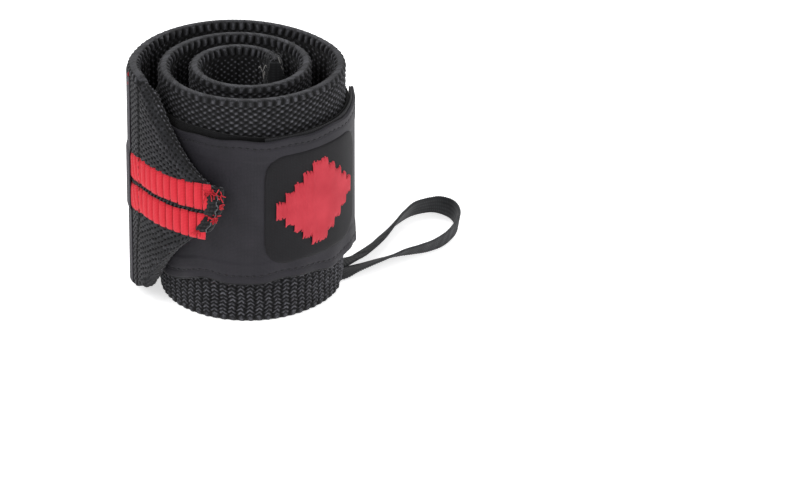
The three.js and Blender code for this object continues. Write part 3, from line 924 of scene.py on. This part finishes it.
for which, v in STRIPE_MIDDLES.items():
    stripe_ground(f"stripe_{which}_ground", v, STRIPE_WIDTH / 2 - 0.3, stripe_end(v) - 1.5)
divider = webbing_line(np.arange(STRIPE_FROM, TIP - 2, 2.0), MIDDLE, -0.05)
slanting = {"Item": SLANT_STITCH, "Pitch": 1.5 * MM, "Turn": math.radians(55), "Seed": 5}
sewn("stripe_divider_stitches", [divider], "elastic_webbing", Material=BLACK_THREAD, **slanting)

# %% [markdown]
# A seam runs up the webbing just before the point. It sews the folded corners down, and it
# shows as a crease with dark stitches, dark red across the stripes.

# %% Seam across the webbing
def seam_up(name, v_low, v_high, depth, material, slot):
    v = np.linspace(v_low, v_high, 30)
    line = webbing_line(seam_angle(v), v, depth)
    sewn(name, [line], slot, Item=SHORT_STITCH, Pitch=2 * MM, Seed=8, Material=material)


seam_up("seam_stitches_low", 3, STRIPE_LOW, -0.25, BLACK_THREAD, "elastic_webbing")
seam_up("seam_stitches_high", STRIPE_HIGH, WIDTH - 3, -0.25, BLACK_THREAD, "elastic_webbing")
for which, v in STRIPE_MIDDLES.items():
    seam_up(f"seam_stitches_{which}", v - 3.9, v + 3.9, 0.5, DARK_RED_THREAD, "red_ribbed_weave")

# %% [markdown]
# ## Fastening tab
# The tab is smooth, close-woven strap. It leaves the arrow point and hugs the turn below, with a
# folded hem and a line of stitches along both edges. Its lower edge waves a little.

# %% Places on the tab
TAB_WIDTH, TAB_THICK = 48.5, 0.9
TAB_FROM, TAB_STRAIGHT = SHOULDER + 3, 1086.0
HOOK_FROM, HOOK_WIDTH, HOOK_THICK = TIP + 24, 45.0, 0.9
PATCH_WIDTH, PATCH_THICK, PATCH_FROM, PATCH_TO = 46.0, 1.0, 527.0, 802.0
PROUD, GAP = 0.15, 0.3
OVER_PATCH = PROUD + GAP + PATCH_THICK + GAP + TAB_THICK
OVER_HOOKS = OVER_PATCH + HOOK_THICK + GAP + 0.1
LEAN_IN, LEAN_FROM, LEAN_TO = 0.8, 66, 84  # the upper edge leans inward along the free end
TAB_CLIMB = 2.0, 2.9  # how far the tab's middle is above the webbing's, at its start and end
TAB_RADIUS = face_radius((TAB_FROM + TAB_STRAIGHT) / 2 - 360) + OVER_HOOKS
TAB_CURVE = math.radians(TAB_STRAIGHT - TAB_FROM) * TAB_RADIUS
TAB_LENGTH = TAB_CURVE + 3.5


def along_tab(angle):
    return TAB_CURVE * (angle - TAB_FROM) / (TAB_STRAIGHT - TAB_FROM)


def tab_face(angle):
    return face_radius(angle - 360) + mix(OVER_PATCH, OVER_HOOKS, smooth(angle, TIP, HOOK_FROM))


def on_tab(s, v, depth):
    """Points in millimetres at a length along the tab, a height up it and a depth outward."""
    s, v, depth = np.broadcast_arrays(*(np.asarray(q, float) for q in (s, v, depth)))
    angle = np.minimum(TAB_STRAIGHT, mix(TAB_FROM, TAB_STRAIGHT, s / TAB_CURVE))
    a, b = np.radians(angle), np.radians(angle - 1)
    depth = depth - LEAN_IN * smooth(s, LEAN_FROM, LEAN_TO) * v / TAB_WIDTH
    here, before = tab_face(angle) + depth, tab_face(angle - 1) + depth
    x, y = here * np.cos(a), here * np.sin(a)
    dx, dy = x - before * np.cos(b), y - before * np.sin(b)
    past = np.maximum(0, s - TAB_CURVE) / np.hypot(dx, dy)
    z = MIDDLE + mix(*TAB_CLIMB, s / TAB_LENGTH) - TAB_WIDTH / 2 + v
    return np.stack([x + dx * past + AXIS[0], y + dy * past + AXIS[1], z], -1)


# %% [markdown]
# Every flat strip here is one closed skin with a softly rounded edge: the outer face, an edge,
# the inner face, an edge. `bumps` adds what stands up from the outer face.

# %% A strip of cloth laid in place
def strip_skin(name, lay, lengths, low, high, thick, material, slot, step, top, bumps=None):
    """A strip from low to high up its width; its outer face lies at the depth `top`."""
    v = np.linspace(low, high, max(3, int((high - low) / step)))
    turn = np.linspace(0, math.pi, 7)[1:-1]
    edge = thick / 2 * np.sin(turn)
    round_v = np.concatenate([v, high + edge, v[::-1], low - edge])
    out = np.concatenate([np.ones(len(v)), np.cos(turn), -np.ones(len(v)), -np.cos(turn)])
    s = np.asarray(lengths, float)[:, None]
    depth = top - thick / 2 + out * thick / 2 + 0 * s
    if bumps is not None:
        depth = depth + np.where(out > 0.5, bumps(s, round_v), 0)
    rows = lay(s + 0 * round_v, round_v + 0 * s, depth)
    return keep(tube(name, rows, material, grid(s, round_v)))


# Length along the tab, and how far its lower edge is off a straight line there.
TAB_LOW_EDGE = [(-3, -5.0), (9.3, -3.9), (14.5, -1.2), (20, -0.1), (25, -0.9), (31.5, -1.4)]
TAB_LOW_EDGE += [(37.5, -0.6), (46.8, 0.7), (57, -0.2), (65.6, -1.7), (69, -1.4), (72, -0.4)]
TAB_LOW_EDGE += [(75, 0.0), (80, -1.3), (85, -3.8), (92, -4.2)]
HEM_WIDTH, HEM_HEIGHT, HEM_LOW, HEM_HIGH = 6.6, 0.18, 2.7, TAB_WIDTH - 2.4


def tab_edge(s):
    """The lower edge's offset, rounded over a few millimetres."""
    at, off = np.array(TAB_LOW_EDGE).T
    return sum(np.interp(s + shift, at, off) for shift in (-3, -1.5, 0, 1.5, 3)) / 5


def tab_lay(s, v, depth):
    low = tab_edge(s) * (1 - v / TAB_WIDTH) ** 2
    high = -0.5 + 0.25 * np.sin(s / 15.5 * 2 * math.pi + 1)
    ripple = 0.35 * np.sin(s / 12.0 * 2 * math.pi) * (1 - smooth(v, 0, 8))
    return on_tab(s, v + low + high * (v / TAB_WIDTH) ** 2, depth + ripple)


def tab_bumps(s, v):
    hem = 0.0
    for from_edge in (v, TAB_WIDTH - v):
        hem = hem + HEM_HEIGHT * (1 - smooth(from_edge, HEM_WIDTH, HEM_WIDTH + 0.6))
    low, high = (np.exp(-(((v - line) / 0.4) ** 2)) for line in (HEM_LOW, HEM_HIGH))
    return hem - 0.2 * (low + high)


tab_skin = strip_skin(
    "tab_strap",
    tab_lay,
    np.append(np.arange(-3, TAB_LENGTH, 0.6), TAB_LENGTH),
    *(0.5, TAB_WIDTH - 0.5, TAB_THICK),
    *(TAB_CLOTH, "tab_weave"),
    step=0.35,
    top=-0.2,
    bumps=tab_bumps,
)
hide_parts("fastening_tab")

# %% Stitches along the hems
hem_lines = []
for height in (HEM_LOW, HEM_HIGH):
    s = np.arange(1.0, TAB_LENGTH - 1, 0.5)
    facing = outward(np.minimum(TAB_STRAIGHT, mix(TAB_FROM, TAB_STRAIGHT, s / TAB_CURVE)))
    hem_lines.append((tab_lay(s, np.full_like(s, height), np.full_like(s, -0.14)), facing))
hem = {"Item": SHORT_STITCH, "Pitch": 2.2 * MM, "Seed": 9, "Material": BLACK_THREAD}
sewn("tab_hem_stitches", hem_lines, "tab_weave", **hem)

# %% Painted shadow under the tab's lower edge: a black thread laid just below it
s = np.arange(-2.0, TAB_LENGTH, 0.5)
edge_shadow_line = tab_lay(s, np.full_like(s, -0.15), np.full_like(s, -0.75))
threads("tab_edge_thread", [edge_shadow_line], 0.55, BLACK_THREAD)

# %% Hook tape behind the tab
hook_margin = (TAB_WIDTH - HOOK_WIDTH) / 2 - 1.2
hook_skin = strip_skin(
    "hook_tape_ground",
    on_tab,
    np.arange(along_tab(HOOK_FROM), TAB_LENGTH - 0.6, 0.8),
    *(hook_margin + 0.3, TAB_WIDTH - hook_margin + 0.3, HOOK_THICK * 0.7),
    *(HOOK_CLOTH, "hook_nylon"),
    step=1.0,
    top=-TAB_THICK - GAP + 0.1,
)
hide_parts("hook_tape")


# %% [markdown]
# ## Emblem
# A darker, almost flush patch is pressed on the tab. On it lies a lozenge of red satin stitch.

# %% Patch and lozenge
EMBLEM_AT, EMBLEM_SIDE, EMBLEM_CORNER = 1034.0, 37.0, 7.0
LOZENGE_WIDTH, LOZENGE_HEIGHT, LOZENGE_STEPS, SATIN_PITCH = 30.0, 29.0, 5, 0.42
EMBLEM_S, EMBLEM_V = along_tab(EMBLEM_AT), TAB_WIDTH / 2


def emblem_patch():
    share = np.linspace(0, 1, 63)
    from_end = np.minimum(share, 1 - share) * EMBLEM_SIDE
    short = np.clip(1 - from_end / EMBLEM_CORNER, 0, 1)
    half = EMBLEM_SIDE / 2 - EMBLEM_CORNER * (1 - np.sqrt(1 - short**2))
    side = np.linspace(-1, 1, 40)
    s = (EMBLEM_S + (share - 0.5) * EMBLEM_SIDE)[:, None]
    face = np.minimum(1, (1 - np.abs(side)) * 14) * 0.22
    v = EMBLEM_V + side[None, :] * half[:, None]
    outer = on_tab(s + 0 * v, v, face[None, :] + 0 * v)
    inner = on_tab(s + 0 * v, v, -0.4 + 0 * v)
    film = two_faced("emblem_patch_film", outer, inner, PATCH_CLOTH, grid(s, v))
    keep(film)
    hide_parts("emblem_patch")


def satin_thread_rows(s, v_low, v_high, top, half):
    """A flat thread lying up the cloth, its ends diving in."""
    turn = full_turn(8)
    rise = np.array([-0.5, 0.35, 0.85, 1, 1, 1, 1, 0.85, 0.35, -0.5])
    heights = np.array([0, 0.02, 0.06, 0.15, 0.38, 0.62, 0.85, 0.94, 0.98, 1])
    v = mix(v_low, v_high, heights)[:, None] + 0 * turn
    depth = top * rise[:, None] + 0.16 * np.sin(turn)
    across = s + half * np.cos(turn)[None, :] + 0 * v
    return on_tab(across, v, depth), grid(across, v)


def emblem_lozenge():
    rng, strands, pitch = np.random.default_rng(11), [], SATIN_PITCH
    for s in np.arange(-LOZENGE_WIDTH / 2 + pitch / 2, LOZENGE_WIDTH / 2, pitch):
        share = 1 - abs(2 * s / LOZENGE_WIDTH)
        step = min(LOZENGE_STEPS, math.ceil(share * LOZENGE_STEPS + 0.01))
        half = LOZENGE_HEIGHT / 2 * step / LOZENGE_STEPS
        low = EMBLEM_V - half + rng.uniform(-0.45, 0.45)
        high = EMBLEM_V + half + rng.uniform(-0.45, 0.45)
        strands.append(satin_thread_rows(EMBLEM_S + s, low, high, 0.62, pitch * 0.62))
    satin = keep(bundle("emblem_satin", strands, RED_SATIN))
    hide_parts("emblem_lozenge")


emblem_patch()
emblem_lozenge()


# %% [markdown]
# ## Loop patch and label
# The patch is brushed nylon. The label is a thin woven strip across the webbing.

# %% Patch ground and label
# The patch reaches 2.8 mm above its own width, into the gap behind the tab's upper edge. There its
# black pile is partly real pile and partly painted shadow for the deep shade in the gap. Under the
# arrow point it is lifted higher still, as painted shadow only.
PATCH_LOW, PATCH_HIGH = MIDDLE - PATCH_WIDTH / 2 + 1.6, MIDDLE + PATCH_WIDTH / 2 + 2.8
PATCH_SHADOW_RISE, SHADOW_RISE_OVER = 1.8, (595, 655)
LABEL_FROM, LABEL_TO, LABEL_SEAM = PATCH_TO + 87, PATCH_TO + 117, PATCH_TO + 113.5


def webbing_lay(length, v, depth):
    return on_webbing(angle_at(length), v, depth)


def patch_lay(length, v, depth):
    """The patch reaches higher where it starts, under the arrow point, as painted shadow for the
    deep shade there.
    """
    rise = PATCH_SHADOW_RISE * (1 - smooth(angle_at(length), *SHADOW_RISE_OVER)) * smooth(v, MIDDLE, MIDDLE + 24)
    return webbing_lay(length, v + rise, depth)


patch_skin = strip_skin(
    "loop_patch_ground",
    patch_lay,
    np.arange(float(length_at(PATCH_FROM)), float(length_at(PATCH_TO)), 1.0),
    *(PATCH_LOW, PATCH_HIGH, PATCH_THICK * 0.8),
    *(PILE_CLOTH, "loop_pile"),
    step=1.2,
    top=PROUD + GAP + PATCH_THICK * 0.75,
)
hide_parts("loop_patch")


def label_lay(length, v, depth):
    """The label lies on the webbing and steps out over the ribs of the stripes."""
    over = 0.45 * (1 - smooth(np.abs(v - MIDDLE), STRIPES_HALF, STRIPES_HALF + 1.1))
    return webbing_lay(length, v, depth + over)


label_skin = strip_skin(
    "label_strip",
    label_lay,
    np.arange(float(length_at(LABEL_FROM)), float(length_at(LABEL_TO)), 0.6),
    *(1.2, WIDTH - 2.4, 0.35),
    *(LABEL_CLOTH, "label_weave"),
    step=0.6,
    top=0.5,
)
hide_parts("woven_label")
heights = np.linspace(WIDTH - 4.6, WIDTH - 1.6, 8)
seam = webbing_line(np.full_like(heights, LABEL_SEAM), heights, 0.45)
stitches = {"Item": SHORT_STITCH, "Pitch": 2.4 * MM, "Seed": 12, "Material": DARK_RED_THREAD}
sewn("label_stitches", [seam], "label_weave", **stitches)

# %% [markdown]
# The patch's pile is a turf of tiny nylon loops. A scattering tree sets one little arch at each
# place: all over the bare end of the patch, and along its upper edge behind the tab, where the
# pile fills the narrow gap and makes it black: partly the real pile, partly painted shadow for
# the deep shade in that gap.

# %% Pile loops
def little_loop(name, width, height, thick):
    rows, around = [], full_turn(3)
    for turn in np.linspace(-0.25, math.pi + 0.25, 7):
        middle = np.array([width / 2 * math.cos(turn), 0, height * math.sin(turn)])
        out = np.array([math.cos(turn), 0, math.sin(turn)])
        ring = np.cos(around)[:, None] * out + np.sin(around)[:, None] * np.array([0, 1, 0])
        rows.append(middle + thick / 2 * ring)
    return item(name, rows)


def turf(name, start, end, v_low, v_high):
    """A grid on the patch's face between two angles and two heights, for the tree to cover."""
    angles = np.arange(start, end, 1.5)[:, None]
    heights = np.linspace(v_low, v_high, 24)
    rows = patch_lay(length_at(angles), heights, PROUD + GAP + PATCH_THICK * 0.72)
    return tube(name, rows[:, ::-1], PILE_CLOTH, closed=False, caps=False)


LOOP = little_loop("pile_loop", 0.75, 0.62, 0.16)
# Like the patch, the pile's top reaches into the gap behind the tab: partly real pile, partly
# painted shadow.
PILE_TOP = MIDDLE + PATCH_WIDTH / 2 + 2.9
for name, start, end, v_low, per_square_metre in (
    ("pile_bare_end", 724, PATCH_TO - 0.5, MIDDLE - PATCH_WIDTH / 2 + 1.5, 1.1e6),
    ("pile_upper_edge", 574, 724, PILE_TOP - 1.6, 3.0e6),
):
    pile = {"Item": LOOP, "Density": per_square_metre, "Seed": 7, "Material": PILE_CLOTH}
    finished(name, turf(name, start, end, v_low, PILE_TOP), OVER_FACE, "loop_pile", **pile)

# %% [markdown]
# ## Tape: the bound inner end and the thumb loop
# Grosgrain tape is folded over the inner end. The same tape makes the thumb loop.

# %% Places on the loop
TAPE_WIDTH, TAPE_THICK, TAPE_RIB = 7.0, 1.0, 0.85
# The tape's middle line (x, y, z), the heading of its width and the width's tilt in degrees.
LOOP_ROUTE = [
    *((14.1, -3, 11.5, -102, 0), (14.1, -3, 6.5, -102, 0), (14.5, -3, 2.5, -100, 0)),
    *((17, -2.4, 0, -82, 0), (24, -0.3, 0, -74, 0), (31, 1.6, 0, -68, 2)),
    *((35.5, 3.9, 0, -64, 14), (40, 6.2, 0, -64, 23), (44.5, 8.9, 0, -62, 29)),
    *((48, 10.7, 0, -62, 35), (51.2, 12.2, 0, -62, 42), (56, 13.9, 0, -60, 49)),
    *((60.4, 15.9, 0, -58, 57), (66, 21.2, 0, -50, 70), (70.6, 33, 0, -40, 80)),
    *((68.9, 41.4, 0, -40, 76), (64, 44.6, 0, -40, 68), (57, 42.1, 0, -40, 68)),
    *((52.3, 36.1, 0, -40, 61), (49, 30.1, 0, -40, 54), (47, 26.4, 0, -40, 45)),
    *((44, 20.6, 0, -40, 38), (40, 14.9, 0, -44, 30), (36, 10.3, 0, -52, 24)),
    *((31, 8.7, 0, -66, 2), (24, 8.6, 0, -70, 0), (16.8, 7, 0, -68, 0)),
    *((14.2, 6.2, 2.5, -66, 0), (13.8, 6.1, 6.5, -66, 0), (13.8, 6.1, 11.5, -66, 0)),
]


def through(points, t):
    """A smooth curve through points, t from 0 to 1: centripetal Catmull-Rom."""
    points = np.vstack([2 * points[0] - points[1], points, 2 * points[-1] - points[-2]])
    place = t * (len(points) - 3)
    i = np.clip(np.floor(place).astype(int), 0, len(points) - 4)
    w = (place - i)[:, None]
    p0, p1, p2, p3 = (points[i + k] for k in range(4))
    pairs = (p0, p1), (p1, p2), (p2, p3)
    gaps = [np.linalg.norm(b - a, axis=1, keepdims=True) ** 0.5 for a, b in pairs]
    d0, d1, d2 = (np.maximum(g, 1e-6) for g in gaps)
    t1 = ((p1 - p0) / d0 - (p2 - p0) / (d0 + d1) + (p2 - p1) / d1) * d1
    t2 = ((p2 - p1) / d1 - (p3 - p1) / (d1 + d2) + (p3 - p2) / d2) * d1
    square, cube = 3 * p2 - 3 * p1 - 2 * t1 - t2, 2 * p1 - 2 * p2 + t1 + t2
    return p1 + t1 * w + square * w**2 + cube * w**3


def loop_frames():
    route = np.array(LOOP_ROUTE, float)
    across, tilt = np.radians(route[:, 3]), np.radians(route[:, 4])
    level = np.cos(tilt)
    aims = np.stack([np.cos(across) * level, np.sin(across) * level, np.sin(tilt)], -1)
    t = np.linspace(0, 1, 1200)
    line, width = through(route[:, :3], t), through(aims, t)
    along = np.gradient(line, axis=0)
    along /= np.linalg.norm(along, axis=1, keepdims=True)
    width -= along * np.sum(width * along, 1, keepdims=True)
    width /= np.linalg.norm(width, axis=1, keepdims=True)
    flat = np.hypot(width[:, 0], width[:, 1])
    above = TAPE_WIDTH / 2 * np.abs(width[:, 2])
    line[:, 2] = np.maximum(0, line[:, 2]) + above + TAPE_THICK / 2 * flat
    lengths = np.concatenate([[0], np.cumsum(np.linalg.norm(np.diff(line, axis=0), axis=1))])
    return lengths, line, width, np.cross(along, width)


LOOP_LENGTHS, LOOP_LINE, LOOP_WIDTH, LOOP_NORMAL = loop_frames()


def on_loop(s, v, depth):
    place, width, normal = (
        np.stack([np.interp(s, LOOP_LENGTHS, column) for column in table.T], -1)
        for table in (LOOP_LINE, LOOP_WIDTH, LOOP_NORMAL)
    )
    moved = place + width * v[..., None] + normal * depth[..., None]
    moved[..., 2] = np.maximum(moved[..., 2], 0)
    return moved + np.array([AXIS[0], AXIS[1], 0])


def tape_bumps(s, v):
    return 0.14 * np.cos(2 * math.pi * s / TAPE_RIB)


loop_skin = strip_skin(
    "thumb_loop_tape",
    on_loop,
    np.arange(0, LOOP_LENGTHS[-1], 0.22),
    *(-TAPE_WIDTH / 2 + 0.4, TAPE_WIDTH / 2 - 0.4, 0.8),
    *(TAPE_CLOTH, "polyester_tape"),
    step=0.5,
    top=0.4,
    bumps=tape_bumps,
)
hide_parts("thumb_loop")


# %% [markdown]
# The tape over the inner end is soft with wear. It is drawn as one rounded sleeve, its surface a
# little uneven, with frayed threads at its top.

# %% Bound inner end
def end_binding():
    leg, out, into = 7.0, 0.9, -THICK - 0.9
    legs = np.linspace(0, leg, 14)
    nose = np.linspace(0, math.pi, 12)[1:-1]
    middle, half = (out + into) / 2, (out - into) / 2
    loop = [(out, a) for a in legs[::-1]]
    loop += [(middle + half * np.cos(t), -1.4 * np.sin(t)) for t in nose]
    loop += [(into, a) for a in legs]
    depth, along = np.array(loop).T
    v = np.linspace(0.8, WIDTH - 0.8, 150)[:, None] + 0 * depth
    wavy = 0.16 * np.sin(v * 1.1) + 0.12 * np.sin(v * 2.9 + along)
    wavy = wavy + 0.1 * np.sin(along * 2.3 + v * 0.4)
    ribbed = 0.1 * np.cos(2 * math.pi * v / TAPE_RIB)
    shrink = 1 - 0.25 * smooth(v, WIDTH - 4, WIDTH - 0.8)
    depth = middle + (depth - middle) * shrink + np.sign(depth - middle) * (wavy + ribbed)
    turned = inner_end(v) + np.degrees(along / face_radius(inner_end(v)))
    rows = on_webbing(turned, v, depth)
    tape = tube("end_binding_tape", rows, WORN_TAPE, grid(v, along + depth))
    keep(tape)
    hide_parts("end_binding")


def frayed(rng, places, reach, bend):
    """Short curved lines that start at the places and wander off by about `reach`."""
    lines, t = [], np.linspace(0, 1, 9)[:, None]
    for place in places:
        aim, side = rng.normal(size=3), rng.normal(size=3)
        aim, side = aim / np.linalg.norm(aim), side / np.linalg.norm(side)
        lines.append(place + reach * rng.uniform(0.5, 1.2) * (aim * t + bend * side * t * t))
    return lines


end_binding()
rng = np.random.default_rng(4)
fuzz_angles, fuzz_depths = rng.uniform(-6, 26, 60), rng.uniform(-4.2, 0.8, 60)
tops = on_webbing(inner_end(WIDTH) + fuzz_angles, WIDTH + 0.2, fuzz_depths)
threads("inner_end_fuzz", frayed(rng, tops, 0.9, 0.7), 0.14, PALE_FUZZ)
t = np.linspace(0, 1, 40)[:, None]
loose = [
    on_webbing(6 - 12 * t, 73.8 + 0.9 * np.sin(9 * t), -4.6 - 2.2 * t)[:, 0],
    on_webbing(6 + 3 * t, 77 - 6.5 * t, -1.0 + 1.8 * t)[:, 0],
    on_webbing(9 + 5 * np.cos(7 * t), 71 + 1.2 * np.sin(7 * t), -5.2 - 0.6 * t)[:, 0],
]
threads("inner_end_threads", loose, 0.3, PALE_FIBRE)

# %% [markdown]
# ## The closed tip
# The webbing's end is rolled under and sewn down, so the tip shows two plump dark lobes, one
# behind each stripe, with a pale seam thread over them. Cut ends of the red yarn stick out.

# %% Lobes of the tip
TACK_LENGTH, TACK_MARGIN = 4.6, 0.2


def on_tip(share, v, depth):
    """A place on the tip: share from 0 where the ribs end to 1 at the very end."""
    per_mm = np.degrees(1 / face_radius(TIP))
    back = mix(TACK_MARGIN + TACK_LENGTH, TACK_MARGIN, share) * per_mm
    return on_webbing(TIP + leaning(TIP, v) - back, v, depth)


def tip_lobes():
    half = TIP_HEIGHT / 2 - 0.2
    v = np.linspace(MIDDLE - half, MIDDLE + half, 90)
    away = v - MIDDLE + 1.4
    split = np.abs(away) / (half + 1.4 * np.sign(away))
    plump = 0.45 + 0.55 * np.clip(1 - (2 * split - 1) ** 4, 0, 1) ** 0.5
    turn = np.linspace(math.radians(165), math.radians(-70), 34)[:, None]
    rough = 0.12 * np.sin(v * 4.2 + 3 * turn) + 0.1 * np.sin(turn * 9 + v)
    seam = -0.5 * np.exp(-(((turn - math.radians(62)) / 0.16) ** 2))
    reach = (2.7 + rough + seam) * plump
    share = 0.42 + 0.68 * np.cos(turn) * (0.6 + 0.4 * plump)
    outer = on_tip(share, v, -1.6 + reach * np.sin(turn))
    inner = on_tip(share * 0.5, v, -1.8 + 0 * reach)
    lobes = two_faced("tip_lobes", outer, inner, WORN_TAPE, grid(turn * 2.6, v))
    keep(lobes)
    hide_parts("bar_tack")


tip_lobes()
heights = np.linspace(MIDDLE + 7, MIDDLE - 7, 60)
sway = 0.72 + 0.06 * np.sin(heights * 1.9)
seam_thread = on_tip(sway, heights, 0.55 + 0.2 * np.sin(heights * 2.6))
threads("tip_seam_thread", [seam_thread], 0.42, GREY_THREAD)
# Share of the tip and height off its middle of each tuft of cut red yarn.
spots = [(0.0, 6.6), (0.2, 7.4), (0.5, 7.3), (0.9, 6.6), (0.8, -0.9), (0.4, -1.4)]
spots += [(0.9, -2.4), (0.2, -6.9), (1.0, 3.0)]
tufts = [spot for spot in spots for _ in range(7)]
spread = [(s + rng.normal(0, 0.09), MIDDLE + v + rng.normal(0, 0.5)) for s, v in tufts]
starts = [on_tip(s, v, 0.6) for s, v in spread]
threads("tip_red_frays", frayed(rng, starts, 1.5, 0.9), 0.34, RED_RIB)

# %% Remove the items
for spare in (RIB, SLANT_STITCH, SHORT_STITCH, LOOP):
    bpy.data.objects.remove(spare)
